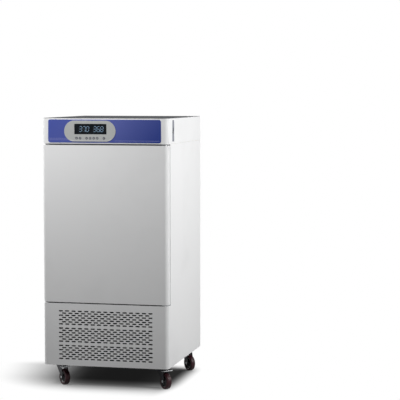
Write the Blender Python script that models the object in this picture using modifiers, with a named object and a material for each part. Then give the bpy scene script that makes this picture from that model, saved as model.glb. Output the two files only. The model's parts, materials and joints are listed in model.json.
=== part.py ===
"""A floor-standing bacteriological incubator: cabinet on casters, hinged door, control head, slotted base.

Metres, +Z up. The front faces -Y and the floor is at Z = 0, under the middle of the cabinet.
"""

import math

import bmesh
import bpy
from mathutils import Matrix, Vector

# Cabinet
WIDTH = 0.600
DEPTH = 0.655
CASTER_HEIGHT = 0.105
BASE_HEIGHT = 0.291
DOOR_GAP_BELOW = 0.005
DOOR_OVERLAP = 0.039  # door beyond the chamber, above and below it
DOOR_GAP_ABOVE = 0.007
HEAD_HEIGHT = 0.118
CORNER_RADIUS = 0.017
CORNER_STEPS = 6
SMOOTH_BELOW = math.radians(35)
SHEET = 0.0012
GAP = 0.0003  # between pieces that touch
CASE_FLANGE = 0.015
HEAD_LEDGE = 0.045
HEAD_RIM = 0.015

# Door
DOOR_THICKNESS = 0.034
DOOR_SEAL_GAP = 0.007
GRIP_DEPTH = 0.022
GRIP_LIP = 0.018
HINGE_INSET_X = 0.015
HINGE_INSET_Y = 0.017
HINGE_PIN_RADIUS = 0.004
HINGE_PIN_LENGTH = 0.012
HINGE_PIN_CLEARANCE = 0.0005
HINGE_PLATE = 0.003
HINGE_PLATE_WIDTH = 0.036
DOOR_LINER_WALL = 0.002
DYKE_RISE = 0.003
DYKE_WIDTH = 0.014
FIELD_DROP = 0.0095
DYKE_CLEARANCE = 0.004
GASKET_OFFSET = 0.003
GASKET_WIDTH = 0.016

# Chamber
CHAMBER_HEIGHT = 0.652
SIDE_WALL = 0.050
BACK_WALL = 0.081
FOAM_LIFT = 0.002
LINER_WALL = 0.0008
REBATE_MARGIN = 0.006
REBATE_DEPTH = 0.0185
FRAME_WALL = 0.003
STOP_LIP = 0.010

# Inner glass door
GLASS = 0.005
GLASS_RECESS = 0.0075
GLASS_SEAL_WIDTH = 0.008
GLASS_SEAL_INSET = 0.001
GLASS_AXIS_INSET = 0.0005
PROFILE_WIDTH = 0.0135
PROFILE_WALL = 0.0017
PROFILE_EDGE = 0.0027
PROFILE_LUG = 0.0022
GLASS_PIN_RADIUS = 0.002
KNOB_RADIUS = 0.012
KNOB_HEIGHT = 0.011
KNOB_INSET = 0.036

# Shelves and their ladders
SHELF_HEIGHTS = (0.195, 0.410)
SHELF_CLEARANCE = 0.004
SHELF_SHEET = 0.0015
SHELF_LIP = 0.012
SHELF_RIM = 0.014
SHELF_SLOTS = 13
SHELF_BAR = 0.006
SHELF_FRONT_GAP = 0.032
SHELF_BACK_GAP = 0.035
LADDER_THICKNESS = 0.0105
LADDER_POST = 0.018
RUNNER_WIDTH = 0.024
RUNNER_THICKNESS = 0.003
RUNNER_OVERHANG = 0.008
LADDER_INSET = 0.020
LADDER_ABOVE = 0.100

# Air duct at the back of the chamber
DUCT_DEPTH = 0.060
DUCT_SHEET = 0.001
FAN_DROP = 0.120
FAN_SETBACK = 0.014
FAN_RADIUS = 0.055
FAN_OPENING_MARGIN = 0.005
FAN_HUB_RADIUS = 0.017
FAN_DEPTH = 0.018
FAN_SHAFT_RADIUS = 0.003
SHAFT_CLEARANCE = 0.0004
BLADE = 0.0016
FAN_MOTOR_RADIUS = 0.030
FAN_MOTOR_LENGTH = 0.024
FIN = 0.004
COIL_FINS = 14
COIL_WIDTH = 0.380
COIL_HEIGHT = 0.110
COIL_DEPTH = 0.034
COIL_RISE = 0.110
COIL_SETBACK = 0.008
COIL_END = 0.002
COIL_END_RISE = 0.004
HEATER_RADIUS = 0.004
HEATER_PASSES = 4
HEATER_PITCH = 0.028
HEATER_WIDTH = 0.300
HEATER_RISE = 0.260
HEATER_SETBACK = 0.024
INTAKES = 9
INTAKE_PITCH = 0.045
INTAKE_LENGTH = 0.032
INTAKE_HEIGHT = 0.012
INTAKE_RISE = 0.030

# Control head
FASCIA_LEFT_MARGIN = 0.0295
FASCIA_RIGHT_MARGIN = 0.033
FASCIA_LOW_MARGIN = 0.005
FASCIA_HIGH_MARGIN = 0.007
FASCIA_THICKNESS = 0.0015
FASCIA_RADIUS = 0.009
BEZEL_LEFT = 0.2305  # from the cabinet's side to the bezel's middle
BEZEL_LENGTH = 0.2460
BEZEL_HEIGHT = 0.096
BEZEL_THICKNESS = 0.002
DISPLAY_WIDTH = 0.154
DISPLAY_HEIGHT = 0.0480
DISPLAY_SHIFT_X = 0.003
DISPLAY_RISE = 0.0095
DISPLAY_DEPTH = 0.005
DISPLAY_RECESS = 0.0007
KEY_GROUPS = ((-0.0635, 2), (-0.0155, 4), (0.0675, 1))
KEY_PITCH = 0.017
KEY_DROP = 0.0325
KEY_RADIUS = 0.0052
KEY_PROUD = 0.0008
KEY_FLANGE = 0.0011
KEY_FLANGE_THICKNESS = 0.001
KEY_STEM_RADIUS = 0.002
KEY_STEM_LENGTH = 0.0028
KEY_TRAVEL = 0.0005
BOARD_THICKNESS = 0.0016
BOARD_OFFSET = 0.008
BOARD_MARGIN = 0.008
PILLAR_RADIUS = 0.003
SWITCH_SETBACK = 0.081
SWITCH_PLATE_WIDTH = 0.036
SWITCH_PLATE_HEIGHT = 0.098
SWITCH_PLATE_RECESS = 0.0006
SWITCH_PLATE_RIM = 0.005
SWITCH_PLATE_WALL = 0.002
ROCKER_WIDTH = 0.014
ROCKER_HALF = 0.0114
ROCKER_PROUD = 0.0032
ROCKER_TILT = math.radians(9)

# Slotted base
SLOT_LENGTH = 0.019
SLOT_HEIGHT = 0.005
SLOT_PITCH = 0.03077
SLOT_COLUMNS = 15
SLOT_ROW_PITCH = 0.01019
SLOT_ROWS = 7
SLOT_BAND_PITCH = 0.0811
SLOT_BANDS = 3
SLOT_LOWEST = 0.0315
TRAY_SHEET = 0.0015
TRAY_LIP = 0.025

# Rear of the base
VENT_LEFT_MARGIN = 0.035
VENT_RIGHT_MARGIN = 0.115
VENT_LOW_MARGIN = 0.025
VENT_HIGH_MARGIN = 0.020
COVER_OVERLAP = 0.012
LOUVRE_ROWS = 8
LOUVRE_LENGTH = 0.150
LOUVRE_HEIGHT = 0.006
LOUVRE_PITCH = 0.020
INLET_MARGIN = 0.055
INLET_RISE = 0.060
INLET_WIDTH = 0.0275
INLET_HEIGHT = 0.020
INLET_FLANGE = 0.010
INLET_FLANGE_THICKNESS = 0.002
INLET_DEPTH = 0.022
INLET_WALL = 0.002
INLET_PIN_SETBACK = 0.008

# Condensing unit
COMPRESSOR_MARGIN = 0.170
COMPRESSOR_SETBACK = 0.1525
COMPRESSOR_RADIUS = 0.070
COMPRESSOR_HEIGHT = 0.165
COMPRESSOR_FOOT = 0.012
COMPRESSOR_PLATE = 0.004
COMPRESSOR_FOOT_RADIUS = 0.009
COMPRESSOR_SEAM = 0.003
CONDENSER_MARGIN = 0.240
CONDENSER_SETBACK = 0.0655
CONDENSER_WIDTH = 0.250
CONDENSER_HEIGHT = 0.230
CONDENSER_DEPTH = 0.040
CONDENSER_FINS = 14
DISCHARGE_RADIUS = 0.004
DISCHARGE_REACH = 0.020
DISCHARGE_CORNER = 0.008
SHROUD_DEPTH = 0.034
SHROUD_WALL = 0.0015
STRUT_STANDOFF = 0.016
STRUT_THICKNESS = 0.003
STRUT_HALF = 0.006
STRUT_OVERHANG = 0.010
POST_HALF = 0.004
BLOWER_RADIUS = 0.090
BLOWER_MARGIN = 0.006
BLOWER_HUB_RADIUS = 0.022
BLOWER_DEPTH = 0.024
BLOWER_MOTOR_RADIUS = 0.034
BLOWER_MOTOR_LENGTH = 0.045

# Casters
CASTER_INSET = 0.0545
CASTER_FRONT = 0.093
CASTER_BACK = 0.085
CASTER_TRAIL = 0.036
CASTER_ANGLE = math.radians(-46)
CASTER_PLATE = 0.062
CASTER_PLATE_THICKNESS = 0.0025
RACE_RADIUS = 0.021
RACE_HEIGHT = 0.0075
KING_PIN_RADIUS = 0.005
CROWN_THICKNESS = 0.0035
WHEEL_RADIUS = 0.0375
WHEEL_WIDTH = 0.025
WHEEL_CLEARANCE = 0.002
LEG_THICKNESS = 0.0025
LEG_TOE = 0.010
CROWN_BACK = 0.019
CROWN_FRONT = 0.034
AXLE_RADIUS = 0.004
WHEEL_STEPS = 16
PEDAL_PIVOT_FORWARD = 0.026
PEDAL_PIVOT_BELOW = 0.0205
PEDAL_PIN_RADIUS = 0.002
PEDAL_ARM_WIDTH = 0.020
PEDAL_SHEET = 0.003
PEDAL_FOOT_WIDTH = 0.046

# Places that follow from the sizes
HALF = WIDTH / 2
FRONT = -DEPTH / 2
REAR = DEPTH / 2
BASE_TOP = CASTER_HEIGHT + BASE_HEIGHT
DOOR_BOTTOM = BASE_TOP + DOOR_GAP_BELOW
DOOR_TOP = DOOR_BOTTOM + CHAMBER_HEIGHT + 2 * DOOR_OVERLAP
HEAD_BOTTOM = DOOR_TOP + DOOR_GAP_ABOVE
TOP = HEAD_BOTTOM + HEAD_HEIGHT
DOOR_BACK = FRONT + DOOR_THICKNESS
CASE_FRONT = DOOR_BACK + DOOR_SEAL_GAP
CASE_BACK = REAR - SHEET - GAP
HINGE_X = HALF - HINGE_INSET_X
HINGE_Y = FRONT + HINGE_INSET_Y
DOOR_INNER_LEFT = -HALF + GRIP_DEPTH + SHEET + GAP
DOOR_INNER_RIGHT = HALF - SHEET - GAP
CHAMBER_FLOOR = DOOR_BOTTOM + DOOR_OVERLAP
CHAMBER_CEILING = CHAMBER_FLOOR + CHAMBER_HEIGHT
CHAMBER_HALF = HALF - SIDE_WALL
CHAMBER_BACK = CASE_BACK - BACK_WALL
FOAM_BOTTOM = BASE_TOP + FOAM_LIFT
REBATE_HALF = CHAMBER_HALF + REBATE_MARGIN
REBATE_LOW = CHAMBER_FLOOR - REBATE_MARGIN
REBATE_HIGH = CHAMBER_CEILING + REBATE_MARGIN
STOP_FACE = CASE_FRONT + REBATE_DEPTH
LINER_FRONT = STOP_FACE + FRAME_WALL + GAP
GLASS_FRONT = CASE_FRONT + GLASS_RECESS
GLASS_AXIS_X = CHAMBER_HALF - GLASS_AXIS_INSET
GLASS_AXIS_Y = GLASS_FRONT + GLASS / 2
DUCT_FRONT = CHAMBER_BACK - DUCT_DEPTH
SHELF_FRONT = STOP_FACE + SHELF_FRONT_GAP
SHELF_BACK = DUCT_FRONT - SHELF_BACK_GAP
FAN_Z = CHAMBER_CEILING - FAN_DROP
FASCIA_LOW = HEAD_BOTTOM + FASCIA_LOW_MARGIN
FASCIA_HIGH = TOP - FASCIA_HIGH_MARGIN
FASCIA_BACK = FRONT - GAP
FASCIA_FRONT = FASCIA_BACK - FASCIA_THICKNESS
BEZEL_BACK = FASCIA_FRONT - GAP
BEZEL_FRONT = BEZEL_BACK - BEZEL_THICKNESS
BEZEL_CENTRE_X = -HALF + BEZEL_LEFT
BEZEL_Z = (FASCIA_LOW + FASCIA_HIGH) / 2
DISPLAY_X = BEZEL_CENTRE_X + DISPLAY_SHIFT_X
DISPLAY_Z = BEZEL_Z + DISPLAY_RISE
KEY_Z = BEZEL_Z - KEY_DROP
KEYS_X = [BEZEL_CENTRE_X + start + i * KEY_PITCH for start, count in KEY_GROUPS for i in range(count)]
BOARD_FRONT = FRONT + SHEET + BOARD_OFFSET
CONTROLS_LEFT = min(DISPLAY_X - DISPLAY_WIDTH / 2, KEYS_X[0] - KEY_RADIUS) - 0.004
CONTROLS_RIGHT = max(DISPLAY_X + DISPLAY_WIDTH / 2, KEYS_X[-1] + KEY_RADIUS) + 0.004
CONTROLS_LOW = KEY_Z - KEY_RADIUS - KEY_FLANGE - 0.001
CONTROLS_HIGH = DISPLAY_Z + DISPLAY_HEIGHT / 2 + 0.003
TRAY_TOP = CASTER_HEIGHT + TRAY_SHEET + GAP
VENT_LOW = CASTER_HEIGHT + VENT_LOW_MARGIN
VENT_HIGH = BASE_TOP - VENT_HIGH_MARGIN
INLET_X = HALF - INLET_MARGIN
COMPRESSOR_X = -HALF + COMPRESSOR_MARGIN
COMPRESSOR_Y = REAR - COMPRESSOR_SETBACK
CONDENSER_X = HALF - CONDENSER_MARGIN
CONDENSER_FRONT = FRONT + CONDENSER_SETBACK
CASTER_X = HALF - CASTER_INSET
SHROUD_FRONT = CONDENSER_FRONT + CONDENSER_DEPTH + GAP
SHROUD_BACK = SHROUD_FRONT + SHROUD_DEPTH
BLOWER_Z = TRAY_TOP + CONDENSER_HEIGHT / 2

PAINT = (0.80, 0.81, 0.82)
STEEL = (0.62, 0.63, 0.64)
ZINC = (0.55, 0.56, 0.57)
BLACK = (0.03, 0.03, 0.03)

for old in list(bpy.data.objects):
    bpy.data.objects.remove(old, do_unlink=True)

PARTS = bpy.data.collections.new("bacteriological_incubator")
CUTTERS = bpy.data.collections.new("cutters")
bpy.context.scene.collection.children.link(PARTS)
bpy.context.scene.collection.children.link(CUTTERS)


def material(name, colour, roughness, metallic=0.0):
    """A Principled material, made once and shared by name."""
    made = bpy.data.materials.get(name) or bpy.data.materials.new(name)
    made.use_nodes = True
    shader = made.node_tree.nodes["Principled BSDF"]
    shader.inputs["Base Color"].default_value = (*colour, 1.0)
    shader.inputs["Roughness"].default_value = roughness
    shader.inputs["Metallic"].default_value = metallic
    made.diffuse_color = (*colour, 1.0)
    return made


def smooth(mesh):
    """Shade the round faces smooth and keep the corners between flat ones sharp."""
    mesh.shade_smooth()
    mesh.set_sharp_from_angle(angle=SMOOTH_BELOW)


def place(name, bm, look=None, location=(0, 0, 0)):
    """Turn a bmesh in world coordinates into an object with its origin at location."""
    mesh = bpy.data.meshes.new(name)
    bmesh.ops.translate(bm, verts=bm.verts, vec=-Vector(location))
    bm.to_mesh(mesh)
    bm.free()
    smooth(mesh)
    made = bpy.data.objects.new(name, mesh)
    made.location = location
    if look:
        PARTS.objects.link(made)
        mesh.materials.append(material(*look))
    else:
        CUTTERS.objects.link(made)
        made.hide_render = True
        made.display_type = "WIRE"
    return made


def combine(piece, helper, operation):
    step = piece.modifiers.new(helper.name, "BOOLEAN")
    step.operation = operation
    step.object = helper
    return piece


def cut(piece, helper):
    return combine(piece, helper, "DIFFERENCE")


def fuse(piece, helper):
    return combine(piece, helper, "UNION")


def solidify(piece, thickness, offset=-1, stepped=False):
    """Give a surface a wall; a stepped one needs the mode that keeps the wall even at its corners."""
    step = piece.modifiers.new("wall", "SOLIDIFY")
    step.thickness = thickness
    step.offset = offset
    step.use_even_offset = True
    if stepped:
        step.solidify_mode = "NON_MANIFOLD"
        step.nonmanifold_thickness_mode = "CONSTRAINTS"
    return piece


def add_box(bm, x, y, z):
    """Add a box to a bmesh; x, y and z are (low, high) pairs."""
    size = Vector((x[1] - x[0], y[1] - y[0], z[1] - z[0]))
    centre = Vector((x[1] + x[0], y[1] + y[0], z[1] + z[0])) / 2
    bmesh.ops.create_cube(bm, matrix=Matrix.Translation(centre) @ Matrix.Diagonal((*size, 1)))


def boxes(*sizes):
    bm = bmesh.new()
    for x, y, z in sizes:
        add_box(bm, x, y, z)
    return bm


def box(name, look, x, y, z):
    return place(name, boxes((x, y, z)), look)


def add_rod(bm, centre, radius, length, axis, segments=16):
    """Add a cylinder to a bmesh, centred on centre along the named axis."""
    turns = {"X": Matrix.Rotation(math.pi / 2, 4, "Y"), "Y": Matrix.Rotation(math.pi / 2, 4, "X")}
    matrix = Matrix.Translation(centre) @ turns.get(axis, Matrix.Identity(4))
    bmesh.ops.create_cone(
        bm, cap_ends=True, segments=segments, radius1=radius, radius2=radius, depth=length, matrix=matrix
    )


def drawn(curve, points, cyclic):
    """The welded bmesh of a curve drawn through points with straight runs."""
    spline = curve.splines.new("POLY")
    spline.points.add(len(points) - 1)
    for target, point in zip(spline.points, points):
        target.co = (*point, 0, 1) if len(point) == 2 else (*point, 1)
    spline.use_cyclic_u = cyclic
    holder = bpy.data.objects.new(curve.name, curve)
    CUTTERS.objects.link(holder)
    mesh = bpy.data.meshes.new_from_object(holder.evaluated_get(bpy.context.evaluated_depsgraph_get()))
    bm = bmesh.new()
    bm.from_mesh(mesh)
    bmesh.ops.remove_doubles(bm, verts=bm.verts, dist=0.00001)
    bpy.data.objects.remove(holder, do_unlink=True)
    bpy.data.meshes.remove(mesh)
    return bm


def outline(points, low, high, axis="Z"):
    """A flat outline, filled and extruded from low to high along an axis, as a closed bmesh.

    The points lie in XY for axis Z, in XZ for axis Y and in YZ for axis X.
    """
    curve = bpy.data.curves.new("outline", "CURVE")
    curve.dimensions = "2D"
    curve.fill_mode = "BOTH"
    curve.extrude = (high - low) / 2
    bm = drawn(curve, points, True)
    turn = {
        "Z": Matrix.Identity(3),
        "Y": Matrix(((1, 0, 0), (0, 0, -1), (0, 1, 0))),
        "X": Matrix(((0, 0, 1), (1, 0, 0), (0, 1, 0))),
    }[axis]
    shift = {"Z": (0, 0, 1), "Y": (0, 1, 0), "X": (1, 0, 0)}[axis]
    bmesh.ops.rotate(bm, verts=bm.verts, matrix=turn, cent=(0, 0, 0))
    bmesh.ops.translate(bm, verts=bm.verts, vec=Vector(shift) * (low + high) / 2)
    bmesh.ops.recalc_face_normals(bm, faces=bm.faces)
    return bm


def arc(centre, radius, start, end, steps):
    angles = [math.radians(start + (end - start) * i / steps) for i in range(steps + 1)]
    return [(centre[0] + radius * math.cos(a), centre[1] + radius * math.sin(a)) for a in angles]


def cabinet_plan(inset=0.0, back=CASE_BACK):
    """The cabinet seen from above, with rounded front corners, each edge moved in by inset."""
    half, front, radius = HALF - inset, FRONT + inset, CORNER_RADIUS - inset
    points = [(half, back - inset), (-half, back - inset)]
    points += arc((-half + radius, front + radius), radius, 180, 270, CORNER_STEPS)
    points += arc((half - radius, front + radius), radius, 270, 360, CORNER_STEPS)
    return points


def drop_faces(bm, test):
    bm.normal_update()
    doomed = [face for face in bm.faces if test(face)]
    bmesh.ops.delete(bm, geom=doomed, context="FACES")


def fold(path, low, high):
    """An upright sheet along an open path seen from above, its outer face to the right of the path."""
    bm = bmesh.new()
    verts = [bm.verts.new((x, y, low)) for x, y in path]
    edges = [bm.edges.new(pair) for pair in zip(verts, verts[1:])]
    grown = bmesh.ops.extrude_edge_only(bm, edges=edges)
    moved = [part for part in grown["geom"] if isinstance(part, bmesh.types.BMVert)]
    bmesh.ops.translate(bm, verts=moved, vec=(0, 0, high - low))
    bm.normal_update()
    (x0, y0), (x1, y1) = path[0], path[1]
    if verts[0].link_faces[0].normal.dot(Vector((y1 - y0, x0 - x1, 0))) < 0:
        bmesh.ops.reverse_faces(bm, faces=bm.faces)
    return bm


def stepped_panel(x, z, y, steps, facing, centre=None, open_centre=False):
    """A panel square to Y, worked from its centre: each step insets it and pushes it along Y."""
    bm = bmesh.new()
    size = Matrix.Diagonal((x[1] - x[0], z[1] - z[0], 1, 1))
    upright = Matrix.Rotation(math.pi / 2, 4, "X")
    middle = Matrix.Translation(((x[0] + x[1]) / 2, y, (z[0] + z[1]) / 2))
    bmesh.ops.create_grid(bm, x_segments=1, y_segments=1, size=0.5, matrix=middle @ upright @ size)
    bm.normal_update()
    bm.faces.ensure_lookup_table()
    face = bm.faces[0]
    if face.normal.y * facing < 0:
        face.normal_flip()
    if centre:
        (left, right), (low, high) = centre
        for point, normal in (((left, y, 0), (1, 0, 0)), ((right, y, 0), (1, 0, 0)),
                              ((0, y, low), (0, 0, 1)), ((0, y, high), (0, 0, 1))):
            whole = bm.verts[:] + bm.edges[:] + bm.faces[:]
            bmesh.ops.bisect_plane(bm, geom=whole, plane_co=point, plane_no=normal)
        middle = Vector(((left + right) / 2, y, (low + high) / 2))
        face = min(bm.faces, key=lambda f: (f.calc_center_median() - middle).length)
    for inset, push in steps:
        if inset:
            bmesh.ops.inset_region(
                bm, faces=[face], thickness=inset, use_even_offset=True, use_boundary=True
            )
        if push:
            grown = bmesh.ops.extrude_discrete_faces(bm, faces=[face])
            face = grown["faces"][0]
            bmesh.ops.translate(bm, verts=face.verts, vec=(0, push, 0))
    if open_centre:
        bmesh.ops.delete(bm, geom=[face], context="FACES")
    return bm


def turned(name, look, profile, segments, location, axis="Z", closed=False):
    """A turned shape: a profile of (radius, height) points, top to bottom on its outer side."""
    bm = bmesh.new()
    verts = [bm.verts.new((radius, 0, height)) for radius, height in profile]
    pairs = list(zip(verts, verts[1:]))
    if closed:
        pairs.append((verts[-1], verts[0]))
    for pair in pairs:
        bm.edges.new(pair)
    made = place(name, bm, look)
    step = made.modifiers.new("turn", "SCREW")
    step.steps = step.render_steps = segments
    step.use_merge_vertices = True
    step.merge_threshold = 0.00001
    made.location = location
    made.rotation_euler = {"Z": (0, 0, 0), "Y": (-math.pi / 2, 0, 0), "-Y": (math.pi / 2, 0, 0)}[axis]
    profile_mesh = made.data
    made.data = bpy.data.meshes.new_from_object(made.evaluated_get(bpy.context.evaluated_depsgraph_get()))
    made.modifiers.clear()
    bpy.data.meshes.remove(profile_mesh)
    smooth(made.data)
    return made


def tube(name, look, points, radius, resolution=2):
    """A bent tube through points, made a mesh with welded caps."""
    curve = bpy.data.curves.new(name, "CURVE")
    curve.dimensions = "3D"
    curve.bevel_depth = radius
    curve.bevel_resolution = resolution
    curve.use_fill_caps = True
    bm = drawn(curve, points, False)
    bmesh.ops.recalc_face_normals(bm, faces=bm.faces)
    return place(name, bm, look)


def axis_empty(name, location):
    """An empty on a joint's axis, which carries the pieces that turn or slide together."""
    made = bpy.data.objects.new(name, None)
    made.location = location
    PARTS.objects.link(made)
    return made


def hang(piece, axis):
    """Parent a piece to an upright axis and leave it where it is."""
    piece.parent = axis
    piece.location -= axis.location
    return piece


WHITE_PAINT = ("white_paint", PAINT, 0.42)
DARK_PAINT = ("dark_paint", (0.13, 0.13, 0.14), 0.5)
BLUE_PANEL = ("blue_panel", (0.05, 0.055, 0.26), 0.35)
SILVER = ("silver_bezel", (0.45, 0.46, 0.45), 0.35, 0.3)
LENS = ("display_lens", (0.012, 0.016, 0.02), 0.08)
KEY_GREY = ("key_plastic", (0.12, 0.12, 0.14), 0.5)
BOARD = ("circuit_board", (0.02, 0.12, 0.05), 0.5)
BLACK_PLASTIC = ("black_plastic", BLACK, 0.45)
GREY_PLASTIC = ("grey_plastic", (0.40, 0.43, 0.47), 0.45)
WHITE_PLASTIC = ("white_plastic", (0.78, 0.79, 0.80), 0.4)
FOAM = ("insulation_foam", (0.75, 0.66, 0.42), 0.9)
SEAL = ("seal_rubber", (0.10, 0.10, 0.11), 0.7)
CLEAR_SEAL = ("glass_seal_rubber", (0.55, 0.56, 0.57), 0.5)
STAINLESS = ("stainless_steel", STEEL, 0.3, 1.0)
ZINC_STEEL = ("zinc_steel", ZINC, 0.4, 0.9)
FINS = ("coil_fins", (0.70, 0.71, 0.72), 0.4, 0.9)
GLASS_PANE = ("glass", (0.85, 0.92, 0.90), 0.05)
TYRE = ("wheel_tread", (0.09, 0.02, 0.025), 0.5)
COMPRESSOR_PAINT = ("compressor_paint", BLACK, 0.4)


def build_head():
    """The hood of the control head, its dark cover, and the ledge under it."""
    hood_top = TOP - SHEET - GAP
    hood = solidify(place("head_shell", outline(cabinet_plan(), HEAD_BOTTOM, hood_top), WHITE_PAINT), SHEET)
    middle = bmesh.new()
    for margin, low, high in (
        (HEAD_LEDGE, HEAD_BOTTOM - SHEET, HEAD_BOTTOM + 2 * SHEET),
        (HEAD_RIM, hood_top - 2 * SHEET, hood_top + SHEET),
    ):
        add_box(
            middle, (margin - HALF, HALF - margin), (FRONT + margin, CASE_BACK - margin), (low, high)
        )
    cut(hood, place("hood_openings", middle))
    controls = boxes(
        (
            (CONTROLS_LEFT, CONTROLS_RIGHT),
            (FASCIA_FRONT - SHEET, FRONT + 2 * SHEET),
            (CONTROLS_LOW, CONTROLS_HIGH),
        )
    )
    opening = place("controls_opening", controls)
    cut(hood, opening)
    cut(hood, place("switch_opening", boxes(switch_box(0.0, HALF - 2 * SHEET, HALF + SHEET))))
    place("top_plate", outline(cabinet_plan(0.001), TOP - SHEET, TOP), DARK_PAINT)
    return opening


def switch_box(grow, low_x, high_x):
    """The space of the switch plate, grown by a margin all round."""
    y = FRONT + SWITCH_SETBACK
    z = (HEAD_BOTTOM + TOP) / 2
    return (
        (low_x, high_x),
        (y - grow, y + SWITCH_PLATE_WIDTH + grow),
        (z - SWITCH_PLATE_HEIGHT / 2 - grow, z + SWITCH_PLATE_HEIGHT / 2 + grow),
    )


def build_controls(opening):
    """Blue fascia, silver stadium bezel, display lens, keys and the board behind them."""
    r = FASCIA_RADIUS
    left, right = -HALF + FASCIA_LEFT_MARGIN + r, HALF - FASCIA_RIGHT_MARGIN - r
    low, high = FASCIA_LOW + r, FASCIA_HIGH - r
    points = arc((left, low), r, 180, 270, 3) + arc((right, low), r, 270, 360, 3)
    points += arc((right, high), r, 0, 90, 3) + arc((left, high), r, 90, 180, 3)
    fascia = place("control_fascia", outline(points, FASCIA_FRONT, FASCIA_BACK, "Y"), BLUE_PANEL)
    cut(fascia, opening)

    r = BEZEL_HEIGHT / 2
    reach = BEZEL_LENGTH / 2 - r
    points = arc((BEZEL_CENTRE_X + reach, BEZEL_Z), r, -90, 90, 12)
    points += arc((BEZEL_CENTRE_X - reach, BEZEL_Z), r, 90, 270, 12)
    bezel = place("display_bezel", outline(points, BEZEL_FRONT, BEZEL_BACK, "Y"), SILVER)
    holes = boxes(
        (
            (DISPLAY_X - DISPLAY_WIDTH / 2, DISPLAY_X + DISPLAY_WIDTH / 2),
            (BEZEL_FRONT - SHEET, BEZEL_BACK + SHEET),
            (DISPLAY_Z - DISPLAY_HEIGHT / 2, DISPLAY_Z + DISPLAY_HEIGHT / 2),
        )
    )
    middle = (BEZEL_FRONT + BEZEL_BACK) / 2
    for x in KEYS_X:
        add_rod(holes, (x, middle, KEY_Z), KEY_RADIUS + 2 * GAP, 3 * BEZEL_THICKNESS, "Y", 10)
    cut(bezel, place("bezel_holes", holes))

    lens_front = BEZEL_FRONT + DISPLAY_RECESS
    box(
        "display_window",
        LENS,
        (DISPLAY_X - DISPLAY_WIDTH / 2 + GAP, DISPLAY_X + DISPLAY_WIDTH / 2 - GAP),
        (lens_front, lens_front + DISPLAY_DEPTH),
        (DISPLAY_Z - DISPLAY_HEIGHT / 2 + GAP, DISPLAY_Z + DISPLAY_HEIGHT / 2 - GAP),
    )

    flange_front = BEZEL_BACK + GAP
    flange_back = flange_front + KEY_FLANGE_THICKNESS
    stem_end = flange_back + KEY_STEM_LENGTH
    cap_front = BEZEL_FRONT - KEY_PROUD
    profile = [
        (0.0, flange_front - cap_front),
        (KEY_RADIUS, flange_front - cap_front),
        (KEY_RADIUS, 0.0),
        (KEY_RADIUS + KEY_FLANGE, 0.0),
        (KEY_RADIUS + KEY_FLANGE, flange_front - flange_back),
        (KEY_STEM_RADIUS, flange_front - flange_back),
        (KEY_STEM_RADIUS, flange_front - stem_end),
        (0.0, flange_front - stem_end),
    ]
    for number, x in enumerate(KEYS_X, 1):
        turned(f"key_{number}", KEY_GREY, profile, 10, (x, flange_front, KEY_Z), "-Y")

    board_back = BOARD_FRONT + BOARD_THICKNESS
    board_x = (CONTROLS_LEFT - 3 * BOARD_MARGIN, CONTROLS_RIGHT + 3 * BOARD_MARGIN)
    board_z = (CONTROLS_LOW, CONTROLS_HIGH)
    board = box("controller_board", BOARD, board_x, (BOARD_FRONT, board_back), board_z)
    features = boxes(
        (
            (DISPLAY_X - DISPLAY_WIDTH / 2 + 0.002, DISPLAY_X + DISPLAY_WIDTH / 2 - 0.002),
            (lens_front + DISPLAY_DEPTH + GAP, BOARD_FRONT + BOARD_THICKNESS / 2),
            (DISPLAY_Z - DISPLAY_HEIGHT / 2 + 0.002, DISPLAY_Z + DISPLAY_HEIGHT / 2 - 0.002),
        )
    )
    for x in KEYS_X:
        add_box(
            features,
            (x - KEY_STEM_RADIUS, x + KEY_STEM_RADIUS),
            (stem_end + KEY_TRAVEL + GAP, BOARD_FRONT + BOARD_THICKNESS / 2),
            (KEY_Z - KEY_STEM_RADIUS, KEY_Z + KEY_STEM_RADIUS),
        )
    front = FRONT + SHEET + GAP
    for x in (board_x[0] + BOARD_MARGIN, board_x[1] - BOARD_MARGIN):
        for z in (board_z[0] + BOARD_MARGIN, board_z[1] - BOARD_MARGIN):
            length = BOARD_FRONT + BOARD_THICKNESS / 2 - front
            add_rod(features, (x, front + length / 2, z), PILLAR_RADIUS, length, "Y", 8)
    fuse(board, place("board_features", features))


def build_switch():
    """The recessed plate on the right side of the head and the mains rocker in it."""
    flange_out = HALF - SHEET - GAP
    flange_in = flange_out - SWITCH_PLATE_WALL
    bm = boxes(switch_box(SWITCH_PLATE_RIM, flange_in, flange_out))
    plate = place("switch_plate", bm, GREY_PLASTIC)
    raised = boxes(switch_box(-GAP, flange_in + SHEET / 2, HALF - SWITCH_PLATE_RECESS))
    fuse(plate, place("switch_plate_face", raised))
    y = FRONT + SWITCH_SETBACK + SWITCH_PLATE_WIDTH / 2
    z = (HEAD_BOTTOM + TOP) / 2
    half_width = ROCKER_WIDTH / 2
    room = ROCKER_HALF + 2 * SHEET
    opening = boxes(
        (
            (flange_in - SHEET, HALF + SHEET),
            (y - half_width - GAP, y + half_width + GAP),
            (z - room, z + room),
        )
    )
    cut(plate, place("rocker_opening", opening))
    profile = [
        (-0.004, -0.006),
        (ROCKER_PROUD, -ROCKER_HALF),
        (ROCKER_PROUD * 0.6, 0.0),
        (ROCKER_PROUD, ROCKER_HALF),
        (-0.004, 0.006),
    ]
    axis_x = flange_in
    bm = outline(profile, -half_width, half_width, "Y")
    rocker = place("power_rocker", bm, BLACK_PLASTIC)
    rocker.location = (axis_x, y, z)
    rocker.rotation_euler = (0, -ROCKER_TILT, 0)


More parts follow.
